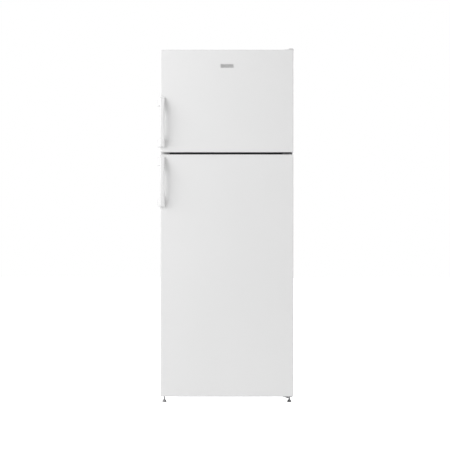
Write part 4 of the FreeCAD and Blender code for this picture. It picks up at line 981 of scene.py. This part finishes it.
def make_rollers():
    """Rear rollers with a bored hub, a recessed web and three grooves round the tread."""
    bore, hub, hub_foot = 4.2 * MM, 7.6 * MM, 8.4 * MM
    web, rim, groove_depth = 16 * MM, 17.4 * MM, 0.9 * MM
    for name in ("left_roller", "right_roller"):
        low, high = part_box(name)
        centre = (low + high) / 2
        radius = (high.z - low.z) / 2
        half = (high.x - low.x) / 2

        def roller(shape):
            side = [(bore, half), (hub, half), (hub_foot, half - 3 * MM), (web, half - 3 * MM),
                    (rim, half - 0.3 * MM), (radius - 1.6 * MM, half), (radius - 0.3 * MM, half - 1.2 * MM)]
            profile = [(bore, -half)] + side
            for groove in (0.45, 0.0, -0.45):
                profile += [(radius, half * (groove + 0.16)), (radius - groove_depth, half * (groove + 0.06)),
                            (radius - groove_depth, half * (groove - 0.06)), (radius, half * (groove - 0.16))]
            profile += [(reach, -along) for reach, along in reversed(side)]
            rings = [[centre + Vector((along, u, v)) for u, v in circle(reach, 48)]
                     for reach, along in profile]
            add_rings(shape, rings, cap_start=False, cap_end=False)

        piece = new_piece(name + "_wheel", mesh_from(name + "_wheel", roller), name, "dark_plastic")
        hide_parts(name)


def make_compressor():
    """The welded two-part pot with its pipe bosses, on its foot plate, and the ribbed relay cover."""
    low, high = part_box("compressor")
    plate_half_x, plate_half_y = 96 * MM, 62 * MM
    x, y = high.x - plate_half_x, (low.y + high.y) / 2
    base = low.z + 3 * MM
    radius = (high.y - low.y) / 2 - 3 * MM
    seam = base + 101 * MM
    dome_low = seam + 22 * MM
    # out from the pot's wall and up from the seam, in mm
    flange = ((0, -6), (0.6, -4.4), (2.8, -3), (3, -1), (1.6, 0), (2.8, 1.2), (2.2, 3.4), (-0.2, 4.6))
    # height above the base, direction
    bosses = ((62 * MM, 0.35), (70 * MM, -0.5), (118 * MM, 2.5))
    boss = Vector((3, 3, 3)) * MM

    def pot(shape):
        profile = []
        for step in range(9):
            turn = step / 8 * math.pi / 2
            profile.append((radius * math.sin(turn) ** 0.8, base + 36 * MM * (1 - math.cos(turn))))
        profile += [(radius + out * MM, seam + up * MM) for out, up in flange]
        for step in range(13):
            turn = step / 12 * math.pi / 2
            profile.append(((radius - 1.5 * MM) * math.cos(turn) ** 0.72,
                            dome_low + (high.z - dome_low) * math.sin(turn)))
        add_lathe(shape, profile, (x, y, 0), "z", 72)
        for level, turn in bosses:
            side = Vector((math.cos(turn), math.sin(turn), 0))
            middle = Vector((x, y, base + level))
            add_block(shape, middle + side * (radius - 2 * MM) - boss,
                      middle + side * (radius + 2 * MM) + boss, 2 * MM, 3)

    def feet(shape):
        add_block(shape, (x - plate_half_x, y - plate_half_y, low.z),
                  (x + plate_half_x, y + plate_half_y, base + 0.3 * MM), 1.4 * MM, 3)

    def relay(shape):
        add_block(shape, (low.x, y - 30 * MM, base + 50 * MM),
                  (x - radius - 3.2 * MM, y + 30 * MM, base + 122 * MM), 4 * MM, 4)
        for line in range(5):
            z = base + (62 + line * 12) * MM
            add_block(shape, (low.x - 0.1 * MM, y - 24 * MM, z - 1.4 * MM),
                      (low.x + 2 * MM, y + 24 * MM, z + 1.4 * MM), 0.6 * MM, 2)

    piece = new_piece("compressor_pot", mesh_from("compressor_pot", pot, 50.0), "cabinet", "black_metal")
    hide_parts("compressor")
    new_piece("compressor_foot_plate", mesh_from("compressor_feet", feet), "cabinet", "black_metal")
    new_piece("compressor_relay_cover", mesh_from("relay_cover", relay), "cabinet", "dark_plastic")


make_stage()
make_handles()
make_badge()
make_feet()
make_hinge_cover()
make_gaskets()
make_rack_bands()
make_bottle_divider()
make_crisper_face()
make_controls()
make_fan()
make_screws()
make_cover_ribs()
make_shelf_trims()
make_rear_fold()
make_rollers()
make_compressor()
